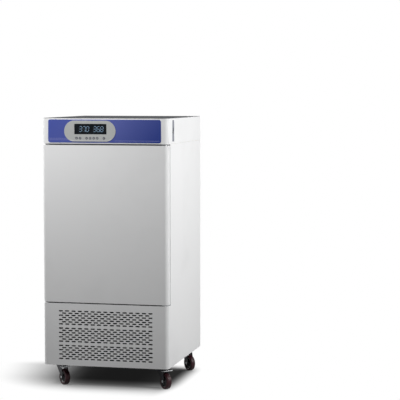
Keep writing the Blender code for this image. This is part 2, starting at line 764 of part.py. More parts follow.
def door_plan(inset, back):
    """The door seen from above, with its finger channel at the left, each edge moved in by inset."""
    left, lip, r = -HALF + GRIP_DEPTH + inset, FRONT + GRIP_LIP - inset, CORNER_RADIUS - inset
    points = [(HALF - inset, back), (left, back), (left, lip), (-HALF + inset, lip)]
    points += arc((-HALF + CORNER_RADIUS, FRONT + CORNER_RADIUS), r, 180, 270, CORNER_STEPS)
    points += arc((HALF - CORNER_RADIUS, FRONT + CORNER_RADIUS), r, 270, 360, CORNER_STEPS)
    return points


def build_door():
    """Outer door: folded skin with a full-height finger channel, foam, formed liner and gasket."""
    axis = axis_empty("door_axis", (HINGE_X, HINGE_Y, DOOR_BOTTOM))
    bm = outline(door_plan(0, DOOR_BACK), DOOR_BOTTOM, DOOR_TOP)
    skin = hang(place("door_skin", bm, WHITE_PAINT), axis)
    bm = outline(door_plan(SHEET, DOOR_BACK + SHEET), DOOR_BOTTOM + SHEET, DOOR_TOP - SHEET)
    cut(skin, place("door_cavity", bm))
    pin_room = bmesh.new()
    for z in (DOOR_BOTTOM, DOOR_TOP):
        centre = (HINGE_X, HINGE_Y, z)
        reach = 2 * (HINGE_PIN_LENGTH + 0.002)
        add_rod(pin_room, centre, HINGE_PIN_RADIUS + HINGE_PIN_CLEARANCE, reach, "Z")
    pin_room = place("hinge_pin_room", pin_room)
    cut(skin, pin_room)

    inset = SHEET + GAP
    low, high = DOOR_BOTTOM + inset, DOOR_TOP - inset
    foam_back = DOOR_BACK + DYKE_RISE - FIELD_DROP - DOOR_LINER_WALL - GAP
    r = CORNER_RADIUS - inset
    plan = [
        (DOOR_INNER_RIGHT, foam_back),
        (DOOR_INNER_LEFT, foam_back),
        (DOOR_INNER_LEFT, FRONT + inset),
    ]
    plan += arc((HALF - CORNER_RADIUS, FRONT + CORNER_RADIUS), r, 270, 360, CORNER_STEPS)
    foam = hang(place("door_insulation", outline(plan, low, high), FOAM), axis)
    cut(foam, pin_room)

    dyke = REBATE_HALF - DYKE_CLEARANCE
    centre = ((-dyke, dyke), (REBATE_LOW + DYKE_CLEARANCE, REBATE_HIGH - DYKE_CLEARANCE))
    steps = [(0, DYKE_RISE), (DYKE_WIDTH, -FIELD_DROP)]
    bm = stepped_panel((DOOR_INNER_LEFT, DOOR_INNER_RIGHT), (low, high), DOOR_BACK, steps, 1, centre)
    hang(solidify(place("door_liner", bm, WHITE_PLASTIC), DOOR_LINER_WALL, stepped=True), axis)

    outer = REBATE_HALF + GASKET_OFFSET + GASKET_WIDTH
    margin = GASKET_OFFSET + GASKET_WIDTH
    bm = stepped_panel(
        (-outer, outer),
        (REBATE_LOW - margin, REBATE_HIGH + margin),
        CASE_FRONT - GAP,
        [(GASKET_WIDTH, 0)],
        1,
        open_centre=True,
    )
    hang(solidify(place("door_gasket", bm, SEAL), DOOR_SEAL_GAP - 2 * GAP), axis)


def build_hinge(name, plate_low, pin_end, collar_end):
    """A hinge plate in the gap over or under the door, with its pin into the door."""
    plate_high = plate_low + HINGE_PLATE
    half = HINGE_PLATE_WIDTH / 2
    x = (HINGE_X - half, HALF - 0.002)
    y = (HINGE_Y - 0.009, CASE_FRONT - 2 * GAP)
    plate = box(name, ZINC_STEEL, x, y, (plate_low, plate_high))
    middle = (plate_low + plate_high) / 2
    pin = bmesh.new()
    centre = (HINGE_X, HINGE_Y, (middle + pin_end) / 2)
    add_rod(pin, centre, HINGE_PIN_RADIUS, abs(pin_end - middle), "Z")
    fuse(plate, place(name + "_pin", pin))
    if collar_end is not None:
        collar = bmesh.new()
        centre = (HINGE_X, HINGE_Y, (middle + collar_end) / 2)
        add_rod(collar, centre, 2 * HINGE_PIN_RADIUS, abs(collar_end - middle), "Z")
        fuse(plate, place(name + "_collar", collar))


def build_case():
    """Wrapped outer case with its rear vent opening, the rear cover and the foam."""
    path = [
        (-HALF + CASE_FLANGE, CASE_FRONT),
        (-HALF, CASE_FRONT),
        (-HALF, CASE_BACK),
        (HALF, CASE_BACK),
        (HALF, CASE_FRONT),
        (HALF - CASE_FLANGE, CASE_FRONT),
    ]
    bm = fold(path[::-1], CASTER_HEIGHT, HEAD_BOTTOM - GAP)
    case = solidify(place("outer_case", bm, WHITE_PAINT), SHEET)
    vent_x = (-HALF + VENT_LEFT_MARGIN, HALF - VENT_RIGHT_MARGIN)
    through = (CASE_BACK - 4 * SHEET, CASE_BACK + 4 * SHEET)
    cut(case, place("vent_opening", boxes((vent_x, through, (VENT_LOW, VENT_HIGH)))))
    z = CASTER_HEIGHT + INLET_RISE
    hole_x = (INLET_X - INLET_WIDTH / 2 - GAP, INLET_X + INLET_WIDTH / 2 + GAP)
    hole_z = (z - INLET_HEIGHT / 2 - GAP, z + INLET_HEIGHT / 2 + GAP)
    cut(case, place("inlet_opening", boxes((hole_x, through, hole_z))))

    cover_x = (vent_x[0] - COVER_OVERLAP, vent_x[1] + COVER_OVERLAP)
    cover_z = (VENT_LOW - COVER_OVERLAP, VENT_HIGH + COVER_OVERLAP)
    cover = box("rear_service_cover", WHITE_PAINT, cover_x, (REAR - SHEET, REAR), cover_z)
    middle_x, middle_z = sum(cover_x) / 2, sum(cover_z) / 2
    louvres = bmesh.new()
    for row in range(LOUVRE_ROWS):
        z = middle_z + (row - (LOUVRE_ROWS - 1) / 2) * LOUVRE_PITCH
        for side in (-1, 1):
            x = middle_x + side * LOUVRE_LENGTH * 0.6
            add_box(
                louvres,
                (x - LOUVRE_LENGTH / 2, x + LOUVRE_LENGTH / 2),
                (REAR - 3 * SHEET, REAR + SHEET),
                (z - LOUVRE_HEIGHT / 2, z + LOUVRE_HEIGHT / 2),
            )
    cut(cover, place("louvre_slots", louvres))

    inset = SHEET + GAP
    foam = box(
        "cabinet_insulation",
        FOAM,
        (-HALF + inset, HALF - inset),
        (CASE_FRONT + FRAME_WALL + GAP, CASE_BACK - inset),
        (FOAM_BOTTOM, HEAD_BOTTOM - GAP),
    )
    grow = LINER_WALL + GAP
    pocket = boxes(
        (
            (-CHAMBER_HALF - grow, CHAMBER_HALF + grow),
            (CASE_FRONT - 0.01, CHAMBER_BACK + grow),
            (CHAMBER_FLOOR - grow, CHAMBER_CEILING + grow),
        )
    )
    cut(foam, place("chamber_pocket", pocket))
    grow = FRAME_WALL + GAP
    recess = boxes(
        (
            (-REBATE_HALF - grow, REBATE_HALF + grow),
            (CASE_FRONT - 0.01, LINER_FRONT),
            (REBATE_LOW - grow, REBATE_HIGH + grow),
        )
    )
    cut(foam, place("frame_recess", recess))


def build_chamber():
    """Stainless liner and the moulded frame with the rebate that the glass door closes into."""
    bm = boxes(
        (
            (-CHAMBER_HALF, CHAMBER_HALF),
            (LINER_FRONT, CHAMBER_BACK),
            (CHAMBER_FLOOR, CHAMBER_CEILING),
        )
    )
    drop_faces(bm, lambda f: f.normal.y < -0.9)
    solidify(place("chamber_liner", bm, STAINLESS), LINER_WALL, 1)

    centre = ((-REBATE_HALF, REBATE_HALF), (REBATE_LOW, REBATE_HIGH))
    lip = REBATE_MARGIN + STOP_LIP
    bm = stepped_panel(
        (-HALF + CASE_FLANGE + GAP, HALF - CASE_FLANGE - GAP),
        (FOAM_BOTTOM, HEAD_BOTTOM - GAP),
        CASE_FRONT,
        [(0, REBATE_DEPTH), (lip, 0)],
        -1,
        centre,
        open_centre=True,
    )
    frame = solidify(place("mouth_frame", bm, WHITE_PLASTIC), FRAME_WALL, stepped=True)
    holes = bmesh.new()
    centre = (GLASS_AXIS_X, GLASS_AXIS_Y, (REBATE_LOW + REBATE_HIGH) / 2)
    length = REBATE_HIGH - REBATE_LOW + 3 * FRAME_WALL
    add_rod(holes, centre, GLASS_PIN_RADIUS + GAP, length, "Z", 12)
    cut(frame, place("glass_pin_holes", holes))


def build_glass_door():
    """Inner glass door: pane, seal on its back, hinge profile with two pins, and a knob."""
    axis = axis_empty("glass_door_axis", (GLASS_AXIS_X, GLASS_AXIS_Y, CHAMBER_FLOOR))
    low, high = CHAMBER_FLOOR, CHAMBER_CEILING
    back = GLASS_FRONT + GLASS
    pane = box("glass_pane", GLASS_PANE, (-CHAMBER_HALF, CHAMBER_HALF), (GLASS_FRONT, back), (low, high))
    hang(pane, axis)

    edge = CHAMBER_HALF - GLASS_SEAL_INSET
    bm = stepped_panel(
        (-edge, edge),
        (low + GLASS_SEAL_INSET, high - GLASS_SEAL_INSET),
        STOP_FACE - GAP,
        [(GLASS_SEAL_WIDTH, 0)],
        1,
        open_centre=True,
    )
    hang(solidify(place("glass_seal", bm, CLEAR_SEAL), STOP_FACE - GAP - back - GAP), axis)

    right = CHAMBER_HALF + GAP + PROFILE_EDGE
    left = right - PROFILE_WIDTH
    front = GLASS_FRONT - GAP - PROFILE_WALL
    section = [
        (left, front),
        (right, front),
        (right, back),
        (CHAMBER_HALF + GAP, back),
        (CHAMBER_HALF + GAP, GLASS_FRONT - GAP),
        (left, GLASS_FRONT - GAP),
    ]
    lug = GAP + PROFILE_LUG
    bm = outline(section, low - lug, high + lug)
    profile = hang(place("glass_hinge_profile", bm, STAINLESS), axis)
    ends = boxes(
        ((left, right), (front, back), (low - lug, low - GAP)),
        ((left, right), (front, back), (high + GAP, high + lug)),
    )
    fuse(profile, place("profile_lugs", ends))
    pins = bmesh.new()
    for end, way in ((low - lug, -1), (high + lug, 1)):
        reach = REBATE_MARGIN - lug + FRAME_WALL / 2
        centre = (GLASS_AXIS_X, GLASS_AXIS_Y, end + way * (reach - PROFILE_LUG / 2) / 2)
        add_rod(pins, centre, GLASS_PIN_RADIUS, reach + PROFILE_LUG / 2, "Z", 12)
    fuse(profile, place("glass_pins", pins))

    turn = [
        (0.0, KNOB_HEIGHT),
        (KNOB_RADIUS * 0.8, KNOB_HEIGHT),
        (KNOB_RADIUS, KNOB_HEIGHT * 0.75),
        (KNOB_RADIUS, KNOB_HEIGHT * 0.4),
        (KNOB_RADIUS * 0.55, 0.0),
        (0.0, 0.0),
    ]
    centre = (-CHAMBER_HALF + KNOB_INSET, GLASS_FRONT - GAP, (low + high) / 2)
    hang(turned("glass_knob", STAINLESS, turn, 16, centre, "-Y"), axis)


def build_shelves():
    """Two slotted sheet shelves with turned-down lips, on the runners of two ladders."""
    half = CHAMBER_HALF - STOP_LIP - SHELF_CLEARANCE
    lip_half = CHAMBER_HALF - RUNNER_WIDTH - SHELF_CLEARANCE
    for name, height in zip(("shelf_lower", "shelf_upper"), SHELF_HEIGHTS):
        low = CHAMBER_FLOOR + height
        sheet = boxes(((-half, half), (SHELF_FRONT, SHELF_BACK), (low, low + SHELF_SHEET)))
        shelf = place(name, sheet, STAINLESS, (0, SHELF_FRONT, low))
        y, z, wall = (SHELF_FRONT, SHELF_BACK), (low - SHELF_LIP, low + SHELF_SHEET), SHELF_SHEET
        section = [
            (y[0], z[0]),
            (y[0] + wall, z[0]),
            (y[0] + wall, z[1] - wall),
            (y[1] - wall, z[1] - wall),
            (y[1] - wall, z[0]),
            (y[1], z[0]),
            (y[1], z[1]),
            (y[0], z[1]),
        ]
        fuse(shelf, place(name + "_lips", outline(section, -lip_half, lip_half, "X")))
        slots = bmesh.new()
        pitch = 2 * (half - SHELF_RIM) / SHELF_SLOTS
        for i in range(SHELF_SLOTS):
            start = -half + SHELF_RIM + i * pitch
            add_box(
                slots,
                (start + SHELF_BAR / 2, start + pitch - SHELF_BAR / 2),
                (y[0] + SHELF_RIM, y[1] - SHELF_RIM),
                (low - SHELF_SHEET, low + 2 * SHELF_SHEET),
            )
        cut(shelf, place(name + "_slots", slots))

    for name, side in (("shelf_ladder_left", -1), ("shelf_ladder_right", 1)):
        wall = side * (CHAMBER_HALF - GAP)
        inner = wall - side * LADDER_THICKNESS
        tip = wall - side * RUNNER_WIDTH
        post_x = (min(wall, inner), max(wall, inner))
        post_z = (CHAMBER_FLOOR + GAP, CHAMBER_FLOOR + SHELF_HEIGHTS[-1] + LADDER_ABOVE)
        front, back = SHELF_FRONT + LADDER_INSET, SHELF_BACK - LADDER_INSET
        ladder = box(name, STAINLESS, post_x, (front, front + LADDER_POST), post_z)
        second = boxes((post_x, (back - LADDER_POST, back), post_z))
        rungs = bmesh.new()
        for height in SHELF_HEIGHTS:
            top = CHAMBER_FLOOR + height - GAP
            x = sorted((wall - side * LADDER_THICKNESS / 2, tip))
            y = (front - RUNNER_OVERHANG, back + RUNNER_OVERHANG)
            add_box(rungs, x, y, (top - RUNNER_THICKNESS, top))
        fuse(ladder, place(name + "_rungs", rungs))
        fuse(ladder, place(name + "_post", second))


def finned_block(name, x, y, z, fins):
    """A block with grooves down both broad faces, so that fins stand out of a thin core."""
    block = box(name, FINS, x, y, z)
    pitch = (x[1] - x[0] - FIN) / (fins - 1)
    groove = (y[1] - y[0]) * 0.3
    grooves = bmesh.new()
    for i in range(fins - 1):
        across = (x[0] + i * pitch + FIN, x[0] + (i + 1) * pitch)
        along = (z[0] - 0.001, z[1] + 0.001)
        add_box(grooves, across, (y[0] - 0.001, y[0] + groove), along)
        add_box(grooves, across, (y[1] - groove, y[1] + 0.001), along)
    return cut(block, place(name + "_grooves", grooves))


def fan(name, centre, radius, hub_radius, depth, blades, look):
    """An axial fan about Y: pitched blades round a hub with a shaft bore."""
    x, y, z = centre
    profile = [
        (hub_radius, depth / 2),
        (hub_radius, -depth / 2),
        (FAN_SHAFT_RADIUS + SHAFT_CLEARANCE, -depth / 2),
        (FAN_SHAFT_RADIUS + SHAFT_CLEARANCE, depth / 2),
    ]
    hub = turned(name, look, profile, 16, centre, "-Y", closed=True)
    vanes = bmesh.new()
    root = hub_radius * 0.8
    for i in range(blades):
        before = len(vanes.verts)
        add_box(vanes, (root, radius), (-BLADE / 2, BLADE / 2), (-depth / 2, depth / 2))
        vanes.verts.ensure_lookup_table()
        blade = vanes.verts[before:]
        for vert in blade:
            tip = vert.co.x > (root + radius) / 2
            vert.co.z *= 1.7 if tip else 0.9
            vert.co = Matrix.Rotation(math.radians(28 if tip else 45), 3, "X") @ vert.co
        turn = Matrix.Rotation(2 * math.pi * i / blades, 3, "Y")
        bmesh.ops.rotate(vanes, verts=blade, matrix=turn, cent=(0, 0, 0))
    bmesh.ops.translate(vanes, verts=vanes.verts, vec=(x, y, z))
    fuse(hub, place(name + "_blades", vanes))


def build_duct():
    """Air duct at the back of the chamber: panel, fan, motor, cooling coil and heater."""
    side, back = CHAMBER_HALF - GAP, CHAMBER_BACK - GAP
    path = [(-side, back), (-side, DUCT_FRONT), (side, DUCT_FRONT), (side, back)]
    bm = fold(path, CHAMBER_FLOOR + GAP, CHAMBER_CEILING - GAP)
    panel = solidify(place("air_duct_panel", bm, STAINLESS), DUCT_SHEET)
    openings = bmesh.new()
    add_rod(openings, (0, DUCT_FRONT, FAN_Z), FAN_RADIUS + FAN_OPENING_MARGIN, 0.02, "Y", 24)
    low = CHAMBER_FLOOR + INTAKE_RISE
    for i in range(INTAKES):
        x = (i - (INTAKES - 1) / 2) * INTAKE_PITCH
        add_box(
            openings,
            (x - INTAKE_LENGTH / 2, x + INTAKE_LENGTH / 2),
            (DUCT_FRONT - 4 * DUCT_SHEET, DUCT_FRONT + 4 * DUCT_SHEET),
            (low, low + INTAKE_HEIGHT),
        )
    cut(panel, place("duct_openings", openings))

    fan_y = DUCT_FRONT + FAN_SETBACK
    fan("circulation_fan", (0, fan_y, FAN_Z), FAN_RADIUS, FAN_HUB_RADIUS, FAN_DEPTH, 5, BLACK_PLASTIC)
    motor_front = back - FAN_MOTOR_LENGTH
    shaft_end = fan_y - FAN_DEPTH / 2
    profile = [
        (0.0, back - shaft_end),
        (FAN_SHAFT_RADIUS, back - shaft_end),
        (FAN_SHAFT_RADIUS, back - motor_front),
        (FAN_MOTOR_RADIUS, back - motor_front),
        (FAN_MOTOR_RADIUS, 0.0),
        (0.0, 0.0),
    ]
    turned("fan_motor", ZINC_STEEL, profile, 16, (0, back, FAN_Z), "-Y")

    low = CHAMBER_FLOOR + COIL_RISE
    y = (back - COIL_DEPTH - COIL_SETBACK, back - COIL_SETBACK)
    x = (-COIL_WIDTH / 2, COIL_WIDTH / 2)
    coil = finned_block("evaporator", x, y, (low, low + COIL_HEIGHT), COIL_FINS)
    z = (low - COIL_END_RISE, low + COIL_HEIGHT + COIL_END_RISE)
    ends = boxes(
        ((x[0] - COIL_END, x[0] + COIL_END / 2), (y[0], back), z),
        ((x[1] - COIL_END / 2, x[1] + COIL_END), (y[0], back), z),
    )
    fuse(coil, place("evaporator_ends", ends))

    half, start = HEATER_WIDTH / 2, CHAMBER_FLOOR + HEATER_RISE
    y = back - HEATER_SETBACK
    points = [(-half, back, start), (-half, y, start)]
    for i in range(HEATER_PASSES):
        z, way = start + i * HEATER_PITCH, -1 if i % 2 else 1
        points.append((way * half, y, z))
        if i < HEATER_PASSES - 1:
            bend = half + HEATER_PITCH * 0.4
            points += [(way * bend, y, z + HEATER_PITCH * 0.3), (way * bend, y, z + HEATER_PITCH * 0.7)]
            points.append((way * half, y, z + HEATER_PITCH))
    points.append((points[-1][0], back, points[-1][2]))
    tube("heater", ZINC_STEEL, points, HEATER_RADIUS)


def build_base():
    """Base tray and the slotted front panel, folded round the cabinet's front corners."""
    half = HALF - max(CASE_FLANGE, CORNER_RADIUS) - GAP
    y = (FRONT + SHEET + GAP, CASE_BACK - SHEET - GAP)
    bm = boxes(((-half, half), y, (CASTER_HEIGHT, CASTER_HEIGHT + TRAY_LIP)))
    drop_faces(bm, lambda f: f.normal.z > 0.9)
    solidify(place("base_tray", bm, ZINC_STEEL), TRAY_SHEET)

    back = CASE_FRONT - GAP
    plan = cabinet_plan(0.0, back)
    bm = outline(plan, CASTER_HEIGHT, BASE_TOP)
    drop_faces(bm, lambda f: f.normal.y > 0.9 or f.normal.z < -0.9)
    panel = solidify(place("base_front_panel", bm, WHITE_PAINT), SHEET)
    slots = bmesh.new()
    for band in range(SLOT_BANDS):
        for row in range(SLOT_ROWS):
            z = CASTER_HEIGHT + SLOT_LOWEST + band * SLOT_BAND_PITCH + row * SLOT_ROW_PITCH
            count = SLOT_COLUMNS - row % 2
            for column in range(count):
                x = (column - (count - 1) / 2) * SLOT_PITCH
                add_box(
                    slots,
                    (x - SLOT_LENGTH / 2, x + SLOT_LENGTH / 2),
                    (FRONT - SHEET, FRONT + 2 * SHEET),
                    (z - SLOT_HEIGHT / 2, z + SLOT_HEIGHT / 2),
                )
    cut(panel, place("grille_slots", slots))


def build_condensing_unit():
    """Compressor, condenser with its discharge tube, shroud with the fan motor, fan and inlet."""
    foot = COMPRESSOR_FOOT
    r, h = COMPRESSOR_RADIUS, COMPRESSOR_HEIGHT
    stub = h * 0.3
    profile = [
        (0.0, h),
        (r * 0.45, h * 0.985),
        (r * 0.80, h * 0.90),
        (r * 0.97, h * 0.72),
        (r * 0.97, h * 0.53),
        (r + COMPRESSOR_SEAM, h * 0.53),
        (r + COMPRESSOR_SEAM, h * 0.50),
        (r, h * 0.50),
        (r, stub - DISCHARGE_RADIUS),
        (r * 0.70, foot),
        (0.0, foot),
    ]
    place_at = (COMPRESSOR_X, COMPRESSOR_Y, TRAY_TOP)
    compressor = turned("compressor", COMPRESSOR_PAINT, profile, 16, place_at)
    plate = boxes(
        (
            (COMPRESSOR_X - r * 1.2, COMPRESSOR_X + r * 1.2),
            (COMPRESSOR_Y - r * 0.8, COMPRESSOR_Y + r * 0.8),
            (TRAY_TOP + foot, TRAY_TOP + foot + COMPRESSOR_PLATE),
        )
    )
    feet = bmesh.new()
    for x in (COMPRESSOR_X - r, COMPRESSOR_X + r):
        for y in (COMPRESSOR_Y - r * 0.6, COMPRESSOR_Y + r * 0.6):
            height = foot + COMPRESSOR_PLATE / 2
            add_rod(feet, (x, y, TRAY_TOP + height / 2), COMPRESSOR_FOOT_RADIUS, height, "Z", 8)
    fuse(compressor, place("compressor_plate", plate))
    fuse(compressor, place("compressor_feet", feet))

    x = (CONDENSER_X - CONDENSER_WIDTH / 2, CONDENSER_X + CONDENSER_WIDTH / 2)
    y = (CONDENSER_FRONT, CONDENSER_FRONT + CONDENSER_DEPTH)
    z = (TRAY_TOP, TRAY_TOP + CONDENSER_HEIGHT)
    condenser = finned_block("condenser", x, y, z, CONDENSER_FINS)
    pipe_x = x[0] + DISCHARGE_RADIUS
    shell_x = COMPRESSOR_X + r + GAP
    high = TRAY_TOP + stub
    middle = (y[0] + y[1]) / 2
    reach, corner = DISCHARGE_REACH, DISCHARGE_CORNER
    points = [
        (pipe_x, middle, high),
        (pipe_x - reach + corner, middle, high),
        (pipe_x - reach, middle + corner, high),
        (pipe_x - reach, COMPRESSOR_Y - 1.6 * r, high),
        (shell_x + reach, COMPRESSOR_Y - 0.6 * r, high),
        (shell_x + reach, COMPRESSOR_Y - corner, high),
        (shell_x + reach - corner, COMPRESSOR_Y, high),
        (shell_x, COMPRESSOR_Y, high),
    ]
    fuse(condenser, tube("discharge_tube", None, points, DISCHARGE_RADIUS))

    shell = boxes((x, (SHROUD_FRONT, SHROUD_BACK), z))
    drop_faces(shell, lambda f: f.normal.y < -0.9)
    shroud = solidify(place("condenser_shroud", shell, BLACK_PLASTIC), SHROUD_WALL)
    ring = bmesh.new()
    add_rod(ring, (CONDENSER_X, SHROUD_BACK, BLOWER_Z), BLOWER_RADIUS + BLOWER_MARGIN, 0.02, "Y", 24)
    cut(shroud, place("shroud_ring", ring))
    strut_y = SHROUD_BACK + STRUT_STANDOFF
    strut_back = strut_y + STRUT_THICKNESS
    strut_z = (BLOWER_Z - STRUT_HALF, BLOWER_Z + STRUT_HALF)
    reach = BLOWER_RADIUS + BLOWER_MARGIN + STRUT_OVERHANG
    posts = bmesh.new()
    for side in (-1, 1):
        post_x = CONDENSER_X + side * reach
        post_y = (SHROUD_BACK - SHROUD_WALL / 2, strut_back)
        add_box(posts, (post_x - POST_HALF, post_x + POST_HALF), post_y, strut_z)
    fuse(shroud, place("shroud_posts", posts))
    bar = boxes(((CONDENSER_X - reach, CONDENSER_X + reach), (strut_y, strut_back), strut_z))
    fuse(shroud, place("shroud_bar", bar))
    blower_y = SHROUD_BACK - BLOWER_DEPTH / 2
    motor_back = strut_y + BLOWER_MOTOR_LENGTH
    profile = [
        (0.0, motor_back - blower_y + BLOWER_DEPTH / 2),
        (FAN_SHAFT_RADIUS, motor_back - blower_y + BLOWER_DEPTH / 2),
        (FAN_SHAFT_RADIUS, BLOWER_MOTOR_LENGTH - 0.002),
        (BLOWER_MOTOR_RADIUS, BLOWER_MOTOR_LENGTH - 0.002),
        (BLOWER_MOTOR_RADIUS, 0.0),
        (0.0, 0.0),
    ]
    motor = turned("blower_motor", None, profile, 16, (CONDENSER_X, motor_back, BLOWER_Z), "-Y")
    fuse(shroud, motor)
    centre = (CONDENSER_X, blower_y, BLOWER_Z)
    fan("condenser_fan", centre, BLOWER_RADIUS, BLOWER_HUB_RADIUS, BLOWER_DEPTH, 6, BLACK_PLASTIC)


def build_inlet():
    """Mains inlet: flange on the case, body through it and a socket with three pins."""
    z = CASTER_HEIGHT + INLET_RISE
    w, h = INLET_WIDTH / 2, INLET_HEIGHT / 2
    back = CASE_BACK + GAP + INLET_FLANGE_THICKNESS
    grown = INLET_FLANGE / 2
    inlet = box(
        "power_inlet",
        BLACK_PLASTIC,
        (INLET_X - w - 2 * grown, INLET_X + w + 2 * grown),
        (CASE_BACK + GAP, back),
        (z - h - grown, z + h + grown),
    )
    deep = CASE_BACK - INLET_DEPTH
    middle = back - INLET_FLANGE_THICKNESS / 2
    body = boxes(((INLET_X - w, INLET_X + w), (deep, middle), (z - h, z + h)))
    fuse(inlet, place("inlet_body", body))
    socket = boxes(
        (
            (INLET_X - w + INLET_WALL, INLET_X + w - INLET_WALL),
            (deep + INLET_WALL, back + 0.001),
            (z - h + INLET_WALL, z + h - INLET_WALL),
        )
    )
    cut(inlet, place("inlet_socket", socket))
    pins = bmesh.new()
    for across, up in ((-0.007, -0.002), (0.0, 0.002), (0.007, -0.002)):
        x, pin_z = INLET_X + across, z + up
        y = (deep + INLET_WALL / 2, back - INLET_PIN_SETBACK)
        add_box(pins, (x - 0.001, x + 0.001), y, (pin_z - 0.002, pin_z + 0.002))
    fuse(inlet, place("inlet_pins", pins))


def build_caster(name, x, y, braked):
    """A swivel caster: fixed plate and race, fork with axle, wheel, and a pedal on the braked ones."""
    plate_top = CASTER_HEIGHT - GAP
    plate_low = plate_top - CASTER_PLATE_THICKNESS
    half = CASTER_PLATE / 2
    plate_x, plate_y = (x - half, x + half), (y - half, y + half)
    mount = box(f"caster_mount_{name}", ZINC_STEEL, plate_x, plate_y, (plate_low, plate_top))
    race_low = plate_low - RACE_HEIGHT
    crown_top = race_low - GAP
    crown_low = crown_top - CROWN_THICKNESS
    profile = [
        (0.0, CASTER_PLATE_THICKNESS / 2),
        (RACE_RADIUS * 0.9, CASTER_PLATE_THICKNESS / 2),
        (RACE_RADIUS, -RACE_HEIGHT * 0.6),
        (RACE_RADIUS * 0.8, -RACE_HEIGHT),
        (KING_PIN_RADIUS, -RACE_HEIGHT),
        (KING_PIN_RADIUS, crown_low - GAP - plate_low),
        (KING_PIN_RADIUS * 1.6, crown_low - GAP - plate_low),
        (KING_PIN_RADIUS * 1.6, crown_low - 0.003 - plate_low),
        (0.0, crown_low - 0.003 - plate_low),
    ]
    fuse(mount, turned(f"caster_race_{name}", None, profile, 12, (x, y, plate_low)))

    swivel = axis_empty(f"swivel_axis_{name}", (x, y, 0))
    swivel.rotation_euler = (0, 0, CASTER_ANGLE)

    axle = WHEEL_RADIUS
    outer = WHEEL_WIDTH / 2 + WHEEL_CLEARANCE + LEG_THICKNESS
    shoulder = crown_low - 0.004
    side = [(-CROWN_BACK, crown_top), (-CROWN_BACK, shoulder), (CASTER_TRAIL - LEG_TOE, axle + 0.006)]
    side += arc((CASTER_TRAIL, axle), LEG_TOE, 180, 360, 6)
    side += [(CASTER_TRAIL + LEG_TOE, axle + 0.006), (CROWN_FRONT, shoulder), (CROWN_FRONT, crown_top)]
    fork = place(f"caster_fork_{name}", outline(side, -outer, outer, "Y"), ZINC_STEEL)
    between = outer - LEG_THICKNESS
    gap = boxes(((-2 * CROWN_BACK, 2 * WHEEL_RADIUS), (-between, between), (0, crown_low)))
    cut(fork, child(gap, f"fork_gap_{name}", swivel))
    bore = bmesh.new()
    add_rod(bore, (0, 0, crown_low), KING_PIN_RADIUS + GAP, 0.03, "Z", 12)
    if braked:
        pivot = (PEDAL_PIVOT_FORWARD, 0, CASTER_HEIGHT - PEDAL_PIVOT_BELOW)
        add_rod(bore, pivot, PEDAL_PIN_RADIUS + GAP, 0.06, "Y", 8)
    cut(fork, child(bore, f"fork_bores_{name}", swivel))
    pin = bmesh.new()
    add_rod(pin, (CASTER_TRAIL, 0, axle), AXLE_RADIUS, 2 * outer + 0.004, "Y", 12)
    fuse(fork, child(pin, f"axle_{name}", swivel))
    fork.parent = swivel

    r, w, bore = WHEEL_RADIUS, WHEEL_WIDTH / 2, AXLE_RADIUS + GAP
    profile = [
        (bore, w + 0.0015),
        (r * 0.30, w + 0.0015),
        (r * 0.34, w - 0.003),
        (r * 0.76, w - 0.003),
        (r * 0.80, w),
        (r * 0.93, w * 0.9),
        (r, w * 0.45),
    ]
    profile += [(radius, -height) for radius, height in reversed(profile)]
    centre = (CASTER_TRAIL, 0, axle)
    wheel = turned(f"caster_wheel_{name}", TYRE, profile, WHEEL_STEPS, centre, "Y", closed=True)
    wheel.parent = swivel

    if braked:
        px, pz = pivot[0], pivot[2]
        arm = [
            (px - 0.004, pz - 0.003),
            (px + 0.013, pz - 0.003),
            (px + 0.018, pz - 0.001),
            (px + 0.029, pz + 0.003),
            (px + 0.0335, pz + 0.0025),
            (px + 0.0335, pz + 0.0025 + PEDAL_SHEET),
            (px + 0.029, pz + 0.003 + PEDAL_SHEET),
            (px + 0.018, pz - 0.001 + PEDAL_SHEET),
            (px + 0.013, pz + 0.003),
            (px - 0.004, pz + 0.003),
        ]
        bm = outline(arm, -PEDAL_ARM_WIDTH / 2, PEDAL_ARM_WIDTH / 2, "Y")
        pedal = place(f"brake_pedal_{name}", bm, ZINC_STEEL, (px, 0, pz))
        foot = outline(arm[2:8], -PEDAL_FOOT_WIDTH / 2, PEDAL_FOOT_WIDTH / 2, "Y")
        fuse(pedal, child(foot, f"pedal_foot_{name}", swivel))
        rod = bmesh.new()
        add_rod(rod, pivot, PEDAL_PIN_RADIUS, 2 * outer + 0.002, "Y", 8)
        fuse(pedal, child(rod, f"pedal_pin_{name}", swivel))
        pedal.parent = swivel


def child(bm, name, parent):
    """A cutter or helper that turns with its parent."""
    made = place(name, bm)
    made.parent = parent
    return made


controls_opening = build_head()
build_controls(controls_opening)
build_switch()
build_door()
build_hinge("door_hinge_top", HEAD_BOTTOM - GAP - HINGE_PLATE, DOOR_TOP - HINGE_PIN_LENGTH, None)
build_hinge("door_hinge_bottom", BASE_TOP + GAP, DOOR_BOTTOM + HINGE_PIN_LENGTH, DOOR_BOTTOM - GAP)
build_case()
build_chamber()
build_glass_door()
build_shelves()
build_duct()
build_base()
build_condensing_unit()
build_inlet()
for end, place_y in (("front", FRONT + CASTER_FRONT), ("rear", REAR - CASTER_BACK)):
    for hand, place_x in (("left", -CASTER_X), ("right", CASTER_X)):
        build_caster(f"{end}_{hand}", place_x, place_y, end == "front")
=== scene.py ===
import json
import math

import bmesh
import bpy
from mathutils import Matrix, Vector
from mathutils.bvhtree import BVHTree


